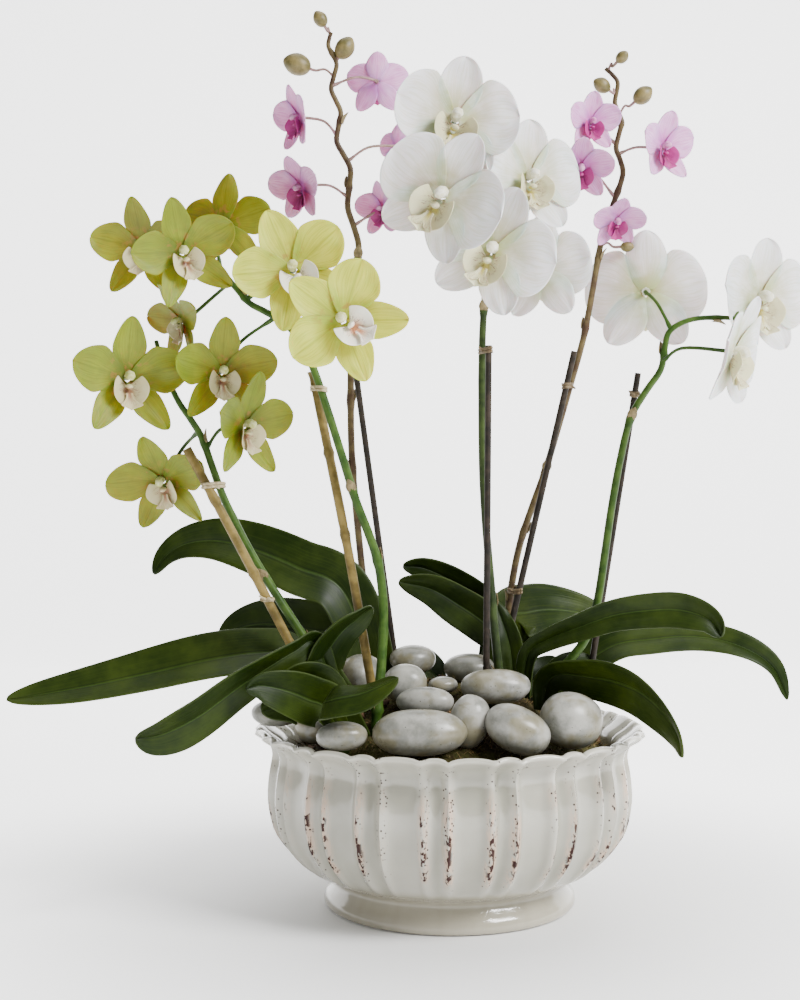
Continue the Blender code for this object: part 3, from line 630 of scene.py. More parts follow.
leaves = {   # spine in rim radii and metres above the rim, width, tilt, tone 0 dark to 1 light
    "leaf_left_arching": ([(-.36, .16), (-.54, .14, .094), (-.774, .14, .112), (-1.008, .2, .125),
        (-1.206, .28, .131), (-1.383, .34, .129), (-1.503, .36, .12), (-1.57, .34, .106)], .046, 40, .45),
    "leaf_left_back": ([(-.36, .3), (-.545, .3, .06), (-.733, .33, .068), (-.96, .38, .072), (-1.125, .42, .068),
        (-1.235, .44, .056)], .046, 62, .3),
    "leaf_left_long": ([(-.56, -.1), (-.778, -.12, .055), (-.948, -.14, .06), (-1.194, -.18, .056),
        (-1.498, -.22, .047), (-1.835, -.28, .038), (-2.19, -.34, .03)], .044, 26, .5),
    "leaf_left_low": ([(-.5, -.36), (-.652, -.42, .067), (-.753, -.5, .065), (-.991, -.62, .045),
        (-1.196, -.72, .025), (-1.361, -.8, .015), (-1.475, -.84, .014)], .036, 42, .4),
    "leaf_left_upright": ([(-.46, -.33), (-.635, -.36, .033), (-.614, -.4, .05), (-.535, -.42, .067),
        (-.458, -.4, .076), (-.39, -.37, .084)], .034, 66, .3),
    "leaf_left_wide": ([(-.46, -.46), (-.599, -.5, .027), (-.683, -.56, .034), (-.783, -.62, .041),
        (-.901, -.68, .046), (-.972, -.72, .045)], .036, 66, .35),
    "leaf_small_front": ([(-.5, -.5), (-.6, -.66, .02), (-.56, -.77, .027), (-.42, -.8, .032),
        (-.26, -.8, .042)], .028, 52, .4),
    "leaf_centre_low": ([(.22, .2), (.286, .2, .052), (.177, .22, .068), (.051, .23, .08), (-.085, .23, .091),
        (-.259, .22, .097)], .034, 50, .35),
    "leaf_centre_high": ([(.2, .48), (.266, .47, .066), (.168, .46, .083), (.016, .44, .096), (-.125, .41, .105),
        (-.237, .4, .107)], .026, 48, .2),
    "leaf_right_back": ([(.38, .32), (.322, .34, .064), (.444, .4, .071), (.597, .48, .072), (.777, .54, .067),
        (.912, .57, .056)], .045, 55, .8),
    "leaf_right_arching": ([(.37, -.06), (.393, -.1, .053), (.492, -.13, .064), (.637, -.18, .073),
        (.802, -.22, .082), (.962, -.25, .086), (1.13, -.28, .087), (1.267, -.31, .081), (1.329, -.32, .069)],
        .027, 24, .35),
    "leaf_right_long": ([(.5, .28), (.827, .29, .049), (1.078, .3, .057), (1.332, .3, .059), (1.559, .27, .052),
        (1.721, .26, .037), (1.795, .24, .013)], .031, 48, .45),
    "leaf_right_front": ([(.46, -.2), (.5, -.25, .038), (.683, -.38, .04), (.857, -.56, .036),
        (.971, -.68, .024), (1.033, -.78, .01), (1.046, -.84, -.002)], .042, 52, .55),
}


def leafFinish(name, tone, under):
    finish = Finish(name, Specular_IOR_Level=0.13)
    u, v, _ = finish.axes(finish.uv())
    across = (v - 0.5).size() * 2
    place = finish.objectPlace()
    cloud = finish.cloud(place, 24, 4, 0.6)
    veins = finish.streaks(u * 3, v * 46, 0.3, 2, 0.5)
    dark = (0.003 + 0.006 * tone, 0.008 + 0.013 * tone, 0.0010)
    light = (0.011 + 0.036 * tone, 0.023 + 0.046 * tone, 0.002 + 0.003 * tone)
    if under:
        dark, light = (0.030, 0.055, 0.012), (0.065, 0.105, 0.024)
    base = finish.blend(cloud.between(0.30, 0.72), dark, light)
    base = finish.blend(veins.between(0.45, 0.62) * 0.25, base, light)
    rib = 1 - across.between(0.0, 0.075)
    base = finish.blend(rib * (1 - u.between(0.75, 1.0)) * 0.35, base, (0.045, 0.085, 0.016))
    # painted shade: the creases either side of the midrib are drawn darker
    groove = (across - 0.085).size()
    base = finish.blend((1 - groove.between(0.0, 0.03)) * 0.6, base, (0.004, 0.010, 0.002))
    edge = across.between(0.94, 0.995)
    base = finish.blend(edge * 0.3, base, (0.06, 0.085, 0.02))
    finish.feed("Base Color", base)
    finish.feed("Roughness", cloud * 0.24 + 0.30 + (0.14 if under else 0.0))
    finish.relief(veins * 0.5 + cloud * 0.3 - rib * 0.8, 0.0006, 0.6)
    return finish.material


underLeaf = leafFinish("leafUnderside", 0.5, True)
leafThickness = 0.0016
leafShift = 0.006      # how far a leaf may settle towards its height in the frame


# a sampler for places and frames along a path by its share of length
def alongPath(path, frames):
    reach = [0.0]
    for a, b in zip(path, path[1:]):
        reach.append(reach[-1] + (b - a).length)

    def at(share):
        goal = share * reach[-1]
        i = 0
        while i < len(path) - 2 and reach[i + 1] < goal:
            i += 1
        t = (goal - reach[i]) / max(1e-9, reach[i + 1] - reach[i])
        return path[i].lerp(path[i + 1], t), [a.lerp(b, t).normalized() for a, b in zip(frames[i], frames[i + 1])]
    return at


def leafWidth(t, widest, base, ease):
    swell = base + (1 - base) * math.sin(math.pi / 2 * min(1.0, t / widest)) ** ease
    end = max(0.0, (t - widest) / (1 - widest))
    return swell * math.sqrt(max(0.0003, 1 - end ** 2.1)) * (1 - 0.10 * end)


# where along its length a leaf is widest, its base as a share of that, and how late it widens
leafShapes = {
    "usual": (.52, .5, 1), "leaf_right_arching": (.8, .46, 1.8), "leaf_centre_high": (.72, .6, 1),
    "leaf_centre_low": (.48, .7, 1), "leaf_left_low": (.84, .3, 2.2), "leaf_left_long": (.42, .6, 1),
    "leaf_left_arching": (.42, .7, 1), "leaf_small_front": (.55, .25, 1), "leaf_right_front": (.6, .32, 1.2),
    "leaf_right_long": (.3, .6, 1), "leaf_right_back": (.4, .75, 1), "leaf_left_wide": (.5, .7, 1),
    "leaf_left_upright": (.45, .55, 1),
}


def makeLeaf(name, spec, number, replaced=True):
    spine, width, tilt, tone = spec
    path = smoothPath([bedPoint(spine[0], 0.001)] + [plantPoint(p) for p in spine[1:]], 8)
    lean = math.radians(tilt)
    at = alongPath(path, carriedFrames(path, Vector((0, -math.sin(lean), math.cos(lean)))))

    def shape(u, v):
        t = 1 - (1 - u) ** 1.35
        spot, (_, side, normal) = at(t)
        half = width * 0.47 * leafWidth(t, *leafShapes.get(name, leafShapes["usual"]))
        ripple = math.sin(t * 11 + number) * 0.0012 + noise.noise(Vector((t * 3.1, v * 1.3, number))) * 0.0022
        rise = half * (0.24 * abs(v) ** 1.2 - 0.06) - 0.0010 * math.exp(-(v * 7) ** 2) + ripple * abs(v)
        return spot + side * (v * half) + normal * rise

    piece = gridPiece(name + "_looks", 14, 44, shape)
    thicken(piece, leafThickness, backMaterial=1)
    if replaced:
        low = min(v.co.z for v in piece.data.vertices)
        piece.location = (0, 0, max(-leafShift, min(leafShift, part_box(name)[0][2] - low)))
        settlePlace(piece)
    piece.data.materials.append(leafFinish(name + "_finish", tone, False))
    piece.data.materials.append(underLeaf)
    smoothShade(piece)
    finishPiece(piece, "leaf", *([name] if replaced else []))


youngLeaves = {   # small ones filling the hearts of the plants
    "youngLeafUpright": ([(.33, .05), (.329, .07, .039), (.307, .07, .059), (.243, .107, .086)], .02, 78, .35),
    "youngLeafRight": ([(.42, 0), (.52, .02, .028), (.68, .05, .04), (.82, .07, .036)], .03, 38, .2),
    "youngLeafHeart": ([(.36, .1), (.44, .14, .022), (.54, .18, .034), (.6, .2, .036)], .036, 62, .15),
    "youngLeafBack": ([(-.26, .3), (-.2, .36, .028), (-.12, .4, .034), (-.02, .42, .022)], .036, 60, .15),
    "youngLeafFold": ([(-.5, -.38), (-.6, -.44, .034), (-.72, -.5, .044), (-.85, -.56, .04)], .026, 62, .35),
    "youngLeafLow": ([(-.48, -.3), (-.62, -.36, .016), (-.78, -.44, .024), (-.92, -.5, .02)], .034, 68, .25),
}

for number, (name, spec) in enumerate(leaves.items()):
    makeLeaf(name, spec, number)
for number, (name, spec) in enumerate(youngLeaves.items()):
    makeLeaf(name, spec, number + 20, replaced=False)
print("leaves made")

flowers = {   # place from the spike's root and above the rim; facing; roll; size share; where its stalk leaves
    "spike_yellow_tall": {
        "flower_yellow_01": ((-.055, -.016, .316), (8, 5), 25, 1, .73),
        "flower_yellow_02": ((-.021, -.046, .28), (10, 0), 55, 1, .51),
        "flower_yellow_03": ((-.13, -.008, .329), (25, -10), 20, .9, .93),
        "flower_yellow_04": ((-.164, .034, .337), (-15, -10), 0, .85, .985),
        "flower_yellow_05": ((-.108, .046, .356), (165, 5), 0, .85, .87),
        "flower_yellow_07": ((-.106, .014, .25), (20, -10), 0, .9, .62),
        "flower_yellow_10": ((-.136, .03, .286), (-50, -20), 0, .7, .8)},
    "spike_yellow_low": {
        "flower_yellow_06": ((-.14, -.026, .245), (25, -5), 0, 1, .85),
        "flower_yellow_08": ((-.12, 0, .175), (-10, -25), 10, .9, .62),
        "flower_yellow_09": ((-.06, -.026, .213), (50, -10), 0, .9, .57)},
    "spike_white_centre": {
        "flower_white_01": ((-.034, -.02, .424), (8, 5), -10, 1, .985),
        "flower_white_02": ((-.043, -.06, .366), (-20, -10), -35, 1.02, .81),
        "flower_white_03": ((-.009, -.044, .331), (-12, -5), -25, 1, .56),
        "flower_white_04": ((.019, .002, .388), (25, 0), 0, .92, .75),
        "flower_white_05": ((.029, .03, .327), (150, 0), 0, .88, .58)},
    "spike_white_right": {
        "flower_white_06": ((.07, .022, .311), (172, 0), 0, 1.02, .78),
        "flower_white_07": ((.116, -.062, .262), (60, -15), 0, .9, .67),
        "flower_white_08": ((.148, .002, .305), (30, -10), 0, .96, .985)},
    "spike_pink_left": {
        "pink_01": ((-.057, -.008, .438), (-60, -10), 0, 1, .615),
        "pink_02": ((-.055, -.018, .386), (-40, -20), 0, 1, .46),
        "pink_03": ((-.001, .008, .468), (175, 0), 0, 1, .77), "pink_04": ((.014, .012, .421), (150, 0), 0, .8, .54),
        "pink_05": ((.004, .004, .374), (-40, -10), 0, .85, .4)},
    "spike_pink_right": {
        "pink_06": ((.06, 0, .435), (20, -5), 0, .9, .69), "pink_07": ((.052, -.01, .401), (0, -30), 0, 1, .56),
        "pink_08": ((.112, -.004, .416), (30, -5), 0, 1.05, .66),
        "pink_09": ((.078, -.01, .363), (10, -40), 0, .85, .515)},
}

# radius in metres; petals and sepals as length, width and angle; upper sepal; sharpness of tips; cup; lip size
blooms = {
    "white": {"size": 0.046, "lip": 1.22, "petal": (0.98, 0.60, 78), "sepal": (0.98, 0.33, 143),
        "top": (1.0, 0.35), "point": 0.1, "cup": 0.12},
    "yellow": {"size": 0.043, "lip": 1.12, "petal": (0.97, 0.43, 72), "sepal": (1.0, 0.30, 145),
        "top": (1.0, 0.34), "point": 0.6, "cup": 0.14},
    "shadedOlive": {"size": 0.043, "lip": 1.05, "petal": (0.97, 0.40, 74), "sepal": (1.0, 0.25, 143),
        "top": (1.0, 0.29), "point": 0.8, "cup": 0.26},
    "pink": {"size": 0.025, "lip": 1.3, "petal": (0.98, 0.47, 70), "sepal": (0.98, 0.32, 142),
        "top": (1.0, 0.36), "point": 0.6, "cup": 0.30},
}


petalLooks = {   # main, base and light colour, how far the base colour runs, strength of the lines and of the midrib
    # white: the grey-green base colour runs far out, partly the petals' own green base and partly painted shade
    # towards the flower's centre
    "white": ((0.66, 0.68, 0.69), (0.35, 0.38, 0.15), (0.78, 0.79, 0.82), 0.70, 0.22, 0.15),
    "yellow": ((0.44, 0.50, 0.045), (0.20, 0.26, 0.008), (0.53, 0.58, 0.080), 0.50, 0.35, 0.55),
    # olive: a darker, greener copy of the yellow petals, partly their greener backs and partly painted shade
    "shadedOlive": ((0.14, 0.19, 0.005), (0.07, 0.10, 0.003), (0.23, 0.29, 0.010), 0.50, 0.35, 0.45),
    "pink": ((0.60, 0.33, 0.58), (0.46, 0.10, 0.40), (0.72, 0.50, 0.72), 0.50, 0.5, 0.2),
}
lipLooks = {   # main, tint and throat colour, strength of the tint, how far the throat runs and how wide it is
    "white": ((0.74, 0.76, 0.72), (0.46, 0.39, 0.0), (0.40, 0.33, 0.0), 0.5, 0.46, 0.30),
    "yellow": ((0.80, 0.81, 0.76), (0.76, 0.60, 0.25), (0.72, 0.20, 0.004), 0.225, 0.60, 0.38),
    # olive: a darker copy of the yellow lip, painted shade
    "shadedOlive": ((0.58, 0.57, 0.34), (0.36, 0.16, 0.02), (0.22, 0.04, 0.010), 0.225, 0.60, 0.38),
    "pink": ((0.34, 0.008, 0.15), (0.55, 0.12, 0.40), (0.13, 0.003, 0.05), 0.225, 0.60, 0.38),
}
columnColours = {
    "white": ((0.66, 0.62, 0.42), (0.78, 0.76, 0.66)), "yellow": ((0.50, 0.50, 0.16), (0.70, 0.68, 0.40)),
    # olive: a darker copy of the yellow column, painted shade
    "shadedOlive": ((0.40, 0.42, 0.10), (0.62, 0.62, 0.34)), "pink": ((0.45, 0.10, 0.30), (0.66, 0.40, 0.55)),
}


def petalFinish(kind):
    main, baseColour, light, baseRun, lineStrength, midribStrength = petalLooks[kind]
    finish = Finish(kind + "Petal", Specular_IOR_Level=0.3, Subsurface_Weight=0.22, Subsurface_Scale=0.003)
    u, v, _ = finish.axes(finish.uv())
    place = finish.objectPlace()
    cloud = finish.cloud(place, 55, 3)
    fan = (v - 0.5) / (0.35 + u * 0.65)
    veins = finish.streaks(u * 2.4, fan * 30, 0.7, 2, 0.5)
    base = finish.blend(u.between(-0.05, baseRun), baseColour, main)
    base = finish.blend(cloud.between(0.4, 0.7) * 0.5, base, light)
    lines = veins.between(0.50, 0.62) * (1 - u.between(0.65, 1.0))
    base = finish.blend(lines * lineStrength, base, baseColour)
    rib = 1 - (v - 0.5).size().between(0.0, 0.035)
    base = finish.blend(rib * (1 - u.between(0.8, 1.0)) * midribStrength, base, baseColour)
    if kind in ("yellow", "shadedOlive"):
        blush = finish.cloud(place, 210, 2).between(0.57, 0.64) * (1 - u.between(0.10, 0.40))
        base = finish.blend(blush * 0.5, base, (0.30, 0.13, 0.03))
    finish.feed("Base Color", base)
    finish.feed("Roughness", cloud * 0.2 + 0.42)
    finish.relief(veins * 0.7 + cloud * 0.4, 0.0005, 0.45)
    return finish.material


def lipFinish(kind):
    main, tint, throat, tintStrength, throatRun, throatWidth = lipLooks[kind]
    finish = Finish(kind + "Lip", Specular_IOR_Level=0.45, Subsurface_Weight=0.12, Subsurface_Scale=0.002)
    u, v, _ = finish.axes(finish.uv())
    place = finish.objectPlace()
    cloud = finish.cloud(place, 380, 3)
    outer = (v - 0.5).size()
    colour = finish.blend(cloud.between(0.15, 0.40) * tintStrength, main, tint)
    deep = (1 - u.between(0.10, throatRun)) * (1 - outer.between(0.10, throatWidth))
    colour = finish.blend(deep * 0.75, colour, throat)
    streaks = finish.streaks(u * 5, v * 60, 0.4, 1).between(0.56, 0.62)
    colour = finish.blend(streaks * (1 - u.between(0.35, 0.75)) * 0.7, colour, (0.16, 0.02, 0.05))
    finish.feed("Base Color", colour)
    finish.feed("Roughness", cloud * 0.2 + 0.32)
    finish.relief(cloud, 0.0004, 0.5)
    return finish.material


def plainFinish(name, low, high, scale=200, rough=0.45, relief=0.0005, gloss=0.4):
    finish = Finish(name, Specular_IOR_Level=gloss)
    cloud = finish.cloud(finish.objectPlace(), scale, 4, 0.6)
    finish.feed("Base Color", finish.blend(cloud.between(0.32, 0.68), low, high))
    finish.feed("Roughness", cloud * 0.25 + rough)
    finish.relief(cloud, relief, 0.6)
    return finish.material


bloomFinishes = {}
for kind, (low, high) in columnColours.items():
    bloomFinishes[kind] = [petalFinish(kind), lipFinish(kind), plainFinish(kind + "Column", low, high, 400)]


# a petal or sepal lying from the middle outwards, turned by its angle from straight up
def petalPiece(name, length, width, turn, kind, broad, level, seed):
    look = blooms[kind]
    spin = math.radians(turn)
    cup = look["cup"] * look["size"]

    def shape(u, v):
        t = 1 - (1 - u) ** 1.3
        if broad:
            swell = 0.16 + 0.84 * min(1.0, (t / 0.50)) ** 0.75 if t < 0.50 else 1.0
            end = max(0.0, (t - 0.45) / 0.55)
            tip = math.sqrt(max(0.0006, 1 - end ** (2.5 - look["point"])))
        else:
            swell = 0.34 + 0.66 * math.sin(math.pi / 2 * min(1.0, t / 0.52))
            end = max(0.0, (t - 0.48) / 0.52)
            tip = math.sqrt(max(0.0006, 1 - end ** (2.2 - look["point"]))) * (1 - 0.12 * end)
        half = width * swell * tip
        along = length * (0.05 + 0.95 * t)
        fold = (0.10 if broad else 0.16) * half * v * v
        ripple = noise.noise(Vector((t * 2.4, v * 1.7, seed))) * 0.05 * length * t
        lift = cup * (t ** 1.6) - 0.10 * length * max(0.0, t - 0.72) ** 1.5 + fold + ripple + level
        x, y = v * half, along
        return Vector((x * math.cos(spin) + y * math.sin(spin), -x * math.sin(spin) + y * math.cos(spin), lift))

    piece = gridPiece(name, 10 if kind == "pink" else 12, 12 if kind == "pink" else 16, shape)
    thicken(piece, 0.0006, finer=kind != "pink")
    return piece


def bloomMaster(kind):
    look = blooms[kind]
    size = look["size"]
    topLength, topWidth = look["top"]
    sides = [(*look["sepal"], False), (*look["petal"], True)]
    outlines = [(topLength, topWidth, 0, False)] + [(length, width, hand * turn, broad)
                                                    for length, width, turn, broad in sides for hand in (1, -1)]
    parts = [petalPiece("petal", size * length, size * width, turn, kind, broad, 0.0009 if broad else -0.0004, seed)
             for seed, (length, width, turn, broad) in enumerate(outlines, 1)]
    for part in parts:
        part.data.materials.append(bloomFinishes[kind][0])
    big = look["lip"] * size

    def cup(u, v):      # the side lobes: a shell open at the top, its two ends standing up beside the column
        turn = v * 2.35
        spread = big * (0.035 + 0.185 * math.sin(u * 1.45)) * (1 + 0.10 * math.cos(turn))
        stand = big * (0.02 + 0.25 * u ** 1.1) * (0.62 + 0.38 * min(1.0, abs(v) * 1.5))
        stand = stand * (1 - 0.45 * max(0.0, abs(v) - 0.72) / 0.28)
        flare = big * 0.06 * max(0.0, u - 0.7) / 0.3
        return Vector(((spread + flare) * math.sin(turn), -0.13 * big - (spread + flare) * math.cos(turn), stand))

    def midLobe(u, v):      # narrow neck, broad shoulders, pointed end, curving down and then forward
        pointed = 1 if u < 0.55 else max(0.04, 1 - ((u - 0.55) / 0.45) ** 1.5)
        half = big * (0.055 + 0.125 * math.exp(-((u - 0.52) / 0.20) ** 2)) * pointed
        x = v * half
        y = -big * (0.22 + 0.26 * math.sin(u * 1.35))
        z = big * (0.10 + 0.06 * math.sin(u * 3.1) + 0.16 * u * u) + 1.6 * x * x / max(0.001, half) * 0.35
        return Vector((x, y, z))

    lobes = [gridPiece("sideLobes", 20, 9, cup), gridPiece("midLobe", 9, 12, midLobe)]
    for lobe in lobes:
        thicken(lobe, 0.0007)
        lobe.data.materials.append(bloomFinishes[kind][1])
    bend = [Vector((0, y * big, z * big)) for y, z in ((0.02, 0), (0.055, 0.10), (0.045, 0.18), (0.0, 0.235))]
    girths = (0.055, 0.062, 0.068, 0.070, 0.072, 0.074, 0.074, 0.070, 0.058, 0.035)
    column = rod("column", smoothPath(bend, 3), [big * r for r in girths], 2)
    deselectAll()
    bpy.ops.mesh.primitive_uv_sphere_add(segments=14, ring_count=10, radius=0.060 * big,
                                         location=(0, -0.125 * big, 0.115 * big))
    callus = latest()
    callus.scale = (1.0, 0.7, 1.2)
    settlePlace(callus)
    tails = []
    if kind == "white":
        for hand in (-1, 1):
            curl = [Vector((hand * x * size, y * size, z * size)) for x, y, z in
                    ((0.012, -0.44, 0.26), (0.06, -0.49, 0.29), (0.12, -0.47, 0.33), (0.13, -0.40, 0.33))]
            tails.append(rod("tendril", smoothPath(curl, 4), [0.0006 - 0.00004 * i for i in range(13)], 1))
            tails[-1].data.materials.append(bloomFinishes[kind][1])
    column.data.materials.append(bloomFinishes[kind][2])
    callus.data.materials.append(bloomFinishes[kind][1])
    whole = joinAll(parts + lobes + [column, callus] + tails, kind + "Bloom")
    smoothShade(whole)
    return whole


def facingFrame(facing, roll):
    az, el, spin = math.radians(facing[0]), math.radians(facing[1]), math.radians(roll)
    forward = Vector((math.sin(az) * math.cos(el), -math.cos(az) * math.cos(el), math.sin(el)))
    right = Vector((math.cos(az), math.sin(az), 0))
    up = forward.cross(right)
    right, up = right * math.cos(spin) + up * math.sin(spin), up * math.cos(spin) - right * math.sin(spin)
    return Matrix((right, up, forward)).transposed(), forward


masters = {kind: bloomMaster(kind) for kind in blooms}
print("bloom masters made")

spikes = {   # metres from the root and above the rim; a bud has a centre, a radius and where its stalk leaves
    "spike_yellow_tall": {
        "root": (-.37, -.42), "finish": "green", "thick": .0036, "slot": "green_stem",
        "knots": [(.002, .001, .031), (.005, .006, .079), (.001, .009, .12), (-.014, .007, .162),
        (-.031, .003, .217), (-.049, .001, .267), (-.068, .002, .286), (-.086, .007, .296), (-.101, .014, .313),
        (-.112, .022, .324), (-.133, .028, .318)],
        "buds": []},
    "spike_yellow_low": {
        "root": (-.58, -.2), "finish": "green", "thick": .0036, "slot": "green_stem",
        "knots": [(-.004, -.002, .038), (-.024, -.006, .07), (-.055, -.009, .12), (-.077, -.012, .165),
        (-.091, -.015, .205), (-.106, -.014, .228), (-.117, -.008, .25), (-.124, -.002, .272)],
        "buds": []},
    "spike_pink_left": {
        "root": (-.37, .25), "finish": "brown", "thick": .0027, "slot": "pink_spike",
        "knots": [(-.008, 0, .075), (-.018, 0, .174), (-.02, 0, .233), (-.019, 0, .307), (-.014, -.003, .346),
        (-.022, -.005, .374), (-.02, -.005, .402), (-.03, -.005, .422), (-.027, -.005, .443), (-.034, -.005, .46),
        (-.03, -.005, .478), (-.036, -.005, .491), (-.034, -.005, .501)],
        "buds": [((-.059, -.005, .478), .0105, .8), ((-.024, -.005, .49), .009, .85),
                 ((-.042, -.005, .511), .0065, .985)]},
    "spike_white_centre": {
        "root": (.26, -.085), "finish": "mossy", "thick": .0033, "slot": "brown_stem",
        "knots": [(-.004, 0, .061), (-.007, 0, .097), (-.013, 0, .175), (-.014, -.004, .266), (-.012, -.006, .308),
        (-.009, -.004, .357), (-.01, .002, .393), (-.018, .008, .418)],
        "buds": []},
    "spike_pink_right": {
        "root": (.31, .19), "finish": "brown", "thick": .0027, "slot": "pink_spike",
        "knots": [(.001, .001, .079), (.01, .003, .13), (.028, .003, .182), (.046, .003, .244), (.057, .003, .285),
        (.067, .003, .342), (.072, .003, .363), (.084, .003, .398), (.079, .003, .417), (.083, .003, .436),
        (.078, .003, .45), (.08, .003, .465), (.071, .003, .475)],
        "buds": [((.082, -.006, .481), .0055, .985), ((.068, 0, .462), .007, .87), ((.098, 0, .455), .008, .79),
                 ((.087, 0, .345), .005, .45)]},
    "spike_white_right": {
        "root": (.53, .03), "finish": "green", "thick": .0036, "slot": "green_stem",
        "knots": [(.006, 0, .037), (.022, 0, .057), (.033, 0, .09), (.042, -.002, .154), (.055, -.006, .219),
        (.075, -.014, .253), (.08, -.017, .279), (.1, -.019, .289), (.131, -.019, .289)],
        "buds": []},
}

stemFinishes = {
    "green": plainFinish("greenStem", (0.018, 0.048, 0.005), (0.050, 0.098, 0.013), 90, 0.30, gloss=0.18),
    "mossy": plainFinish("mossyStem", (0.012, 0.022, 0.005), (0.036, 0.058, 0.012), 90, 0.32, gloss=0.18),
    "brown": plainFinish("brownStem", (0.048, 0.026, 0.016), (0.115, 0.085, 0.035), 90, 0.32, gloss=0.18),
}
budFinish = plainFinish("bud", (0.085, 0.072, 0.018), (0.20, 0.155, 0.055), 160, 0.35)
bractFinish = plainFinish("driedBract", (0.10, 0.075, 0.03), (0.24, 0.18, 0.085), 300, 0.6)
pinkNeck = plainFinish("pinkStalk", (0.16, 0.10, 0.07), (0.34, 0.20, 0.20), 160, 0.4)


def spikePoint(name, place):
    x, y = spikes[name]["root"]
    return Vector((x * rimRadius + place[0], y * rimRadius + place[1], rimHeight + place[2]))


def stalk(start, end, forward, girth):
    away = end - forward * ((end - start).length * 0.4)
    path = smoothPath([start, start.lerp(away, 0.55) + Vector((0, 0, 0.003)), end - forward * 0.006, end], 5)
    last = len(path) - 1
    radii = [girth * (1.25 if i < 2 else 0.85 + 0.35 * (i / last) ** 2) for i in range(last + 1)]
    return rod("stalk", path, radii, 2)


def leavingPoint(path, share):
    spot = 1 + share * (len(path) - 2)
    return path[int(spot)].lerp(path[min(len(path) - 1, int(spot) + 1)], spot % 1)


def makeBud(centre, radius, aim):
    deselectAll()
    bpy.ops.mesh.primitive_uv_sphere_add(segments=20, ring_count=14, radius=radius)
    bud = latest()
    for vertex in bud.data.vertices:
        p = vertex.co / radius
        point = 1.0 - 0.28 * max(0.0, p.z) ** 2
        groove = 1 - 0.05 * abs(math.sin(1.5 * math.atan2(p.y, p.x))) ** 0.5
        vertex.co = Vector((p.x * point * groove * 0.80, p.y * point * groove * 0.80, p.z)) * radius
    bud.rotation_mode = "QUATERNION"
    bud.rotation_quaternion = Vector((0, 0, 1)).rotation_difference(aim)
    bud.location = centre
    settlePlace(bud)
    bud.data.materials.append(budFinish)
    smoothShade(bud)
    return bud


def makeBract(spot, side, up, size):
    def shape(u, v):
        half = size * 0.38 * math.sin(math.pi * (0.25 + 0.74 * u))
        away = 0.0026 + 0.25 * size * u * u - 0.3 * half * v * v
        return spot + up * (u * size) + side * away + up.cross(side) * (v * half)

    bract = gridPiece("bract", 5, 6, shape)
    thicken(bract, 0.0005, offset=-1, finer=False)
    bract.data.materials.append(bractFinish)
    return bract


# a copy of the master bloom with its own mesh, slightly warped, set in place
def placeBloom(kind, centre, facing, roll, share, seed):
    master = masters[kind]
    bloom = master.copy()
    bloom.data = master.data.copy()
    bpy.context.scene.collection.objects.link(bloom)
    turn, forward = facingFrame(facing, roll)
    size = blooms[kind]["size"]
    rng = random.Random(seed)
    bends = [(rng.uniform(0, 6.3), rng.uniform(-0.09, 0.09)) for _ in range(3)]
    for vertex in bloom.data.vertices:
        p = vertex.co
        reach = math.hypot(p.x, p.y) / size
        angle = math.atan2(p.y, p.x)
        sway = sum(math.cos(angle * k + phase) * amount for k, (phase, amount) in enumerate(bends, 1))
        lift = sway * size * reach ** 2
        wave = noise.noise(Vector((p.x * 45, p.y * 45, seed * 1.7))) * 0.05 * size * min(1, reach) ** 2
        vertex.co = turn @ (Vector((p.x, p.y, p.z + lift + wave)) * (share * 0.985)) + centre
    return bloom, forward


joints = {"spacing": 0.052, "swell": 0.35, "width": 0.0022, "near": 0.0025, "apart": 0.02, "bract": 0.009, "most": 5}
stems = {"tip": 0.0015, "sink": 0.015, "pinkStalk": 0.0011, "stalk": 0.0014}
litYellow = ("flower_yellow_01", "flower_yellow_02")      # only these keep the yellow finish; the others get the darker, greener olive finish, partly their greener backs and partly painted shade


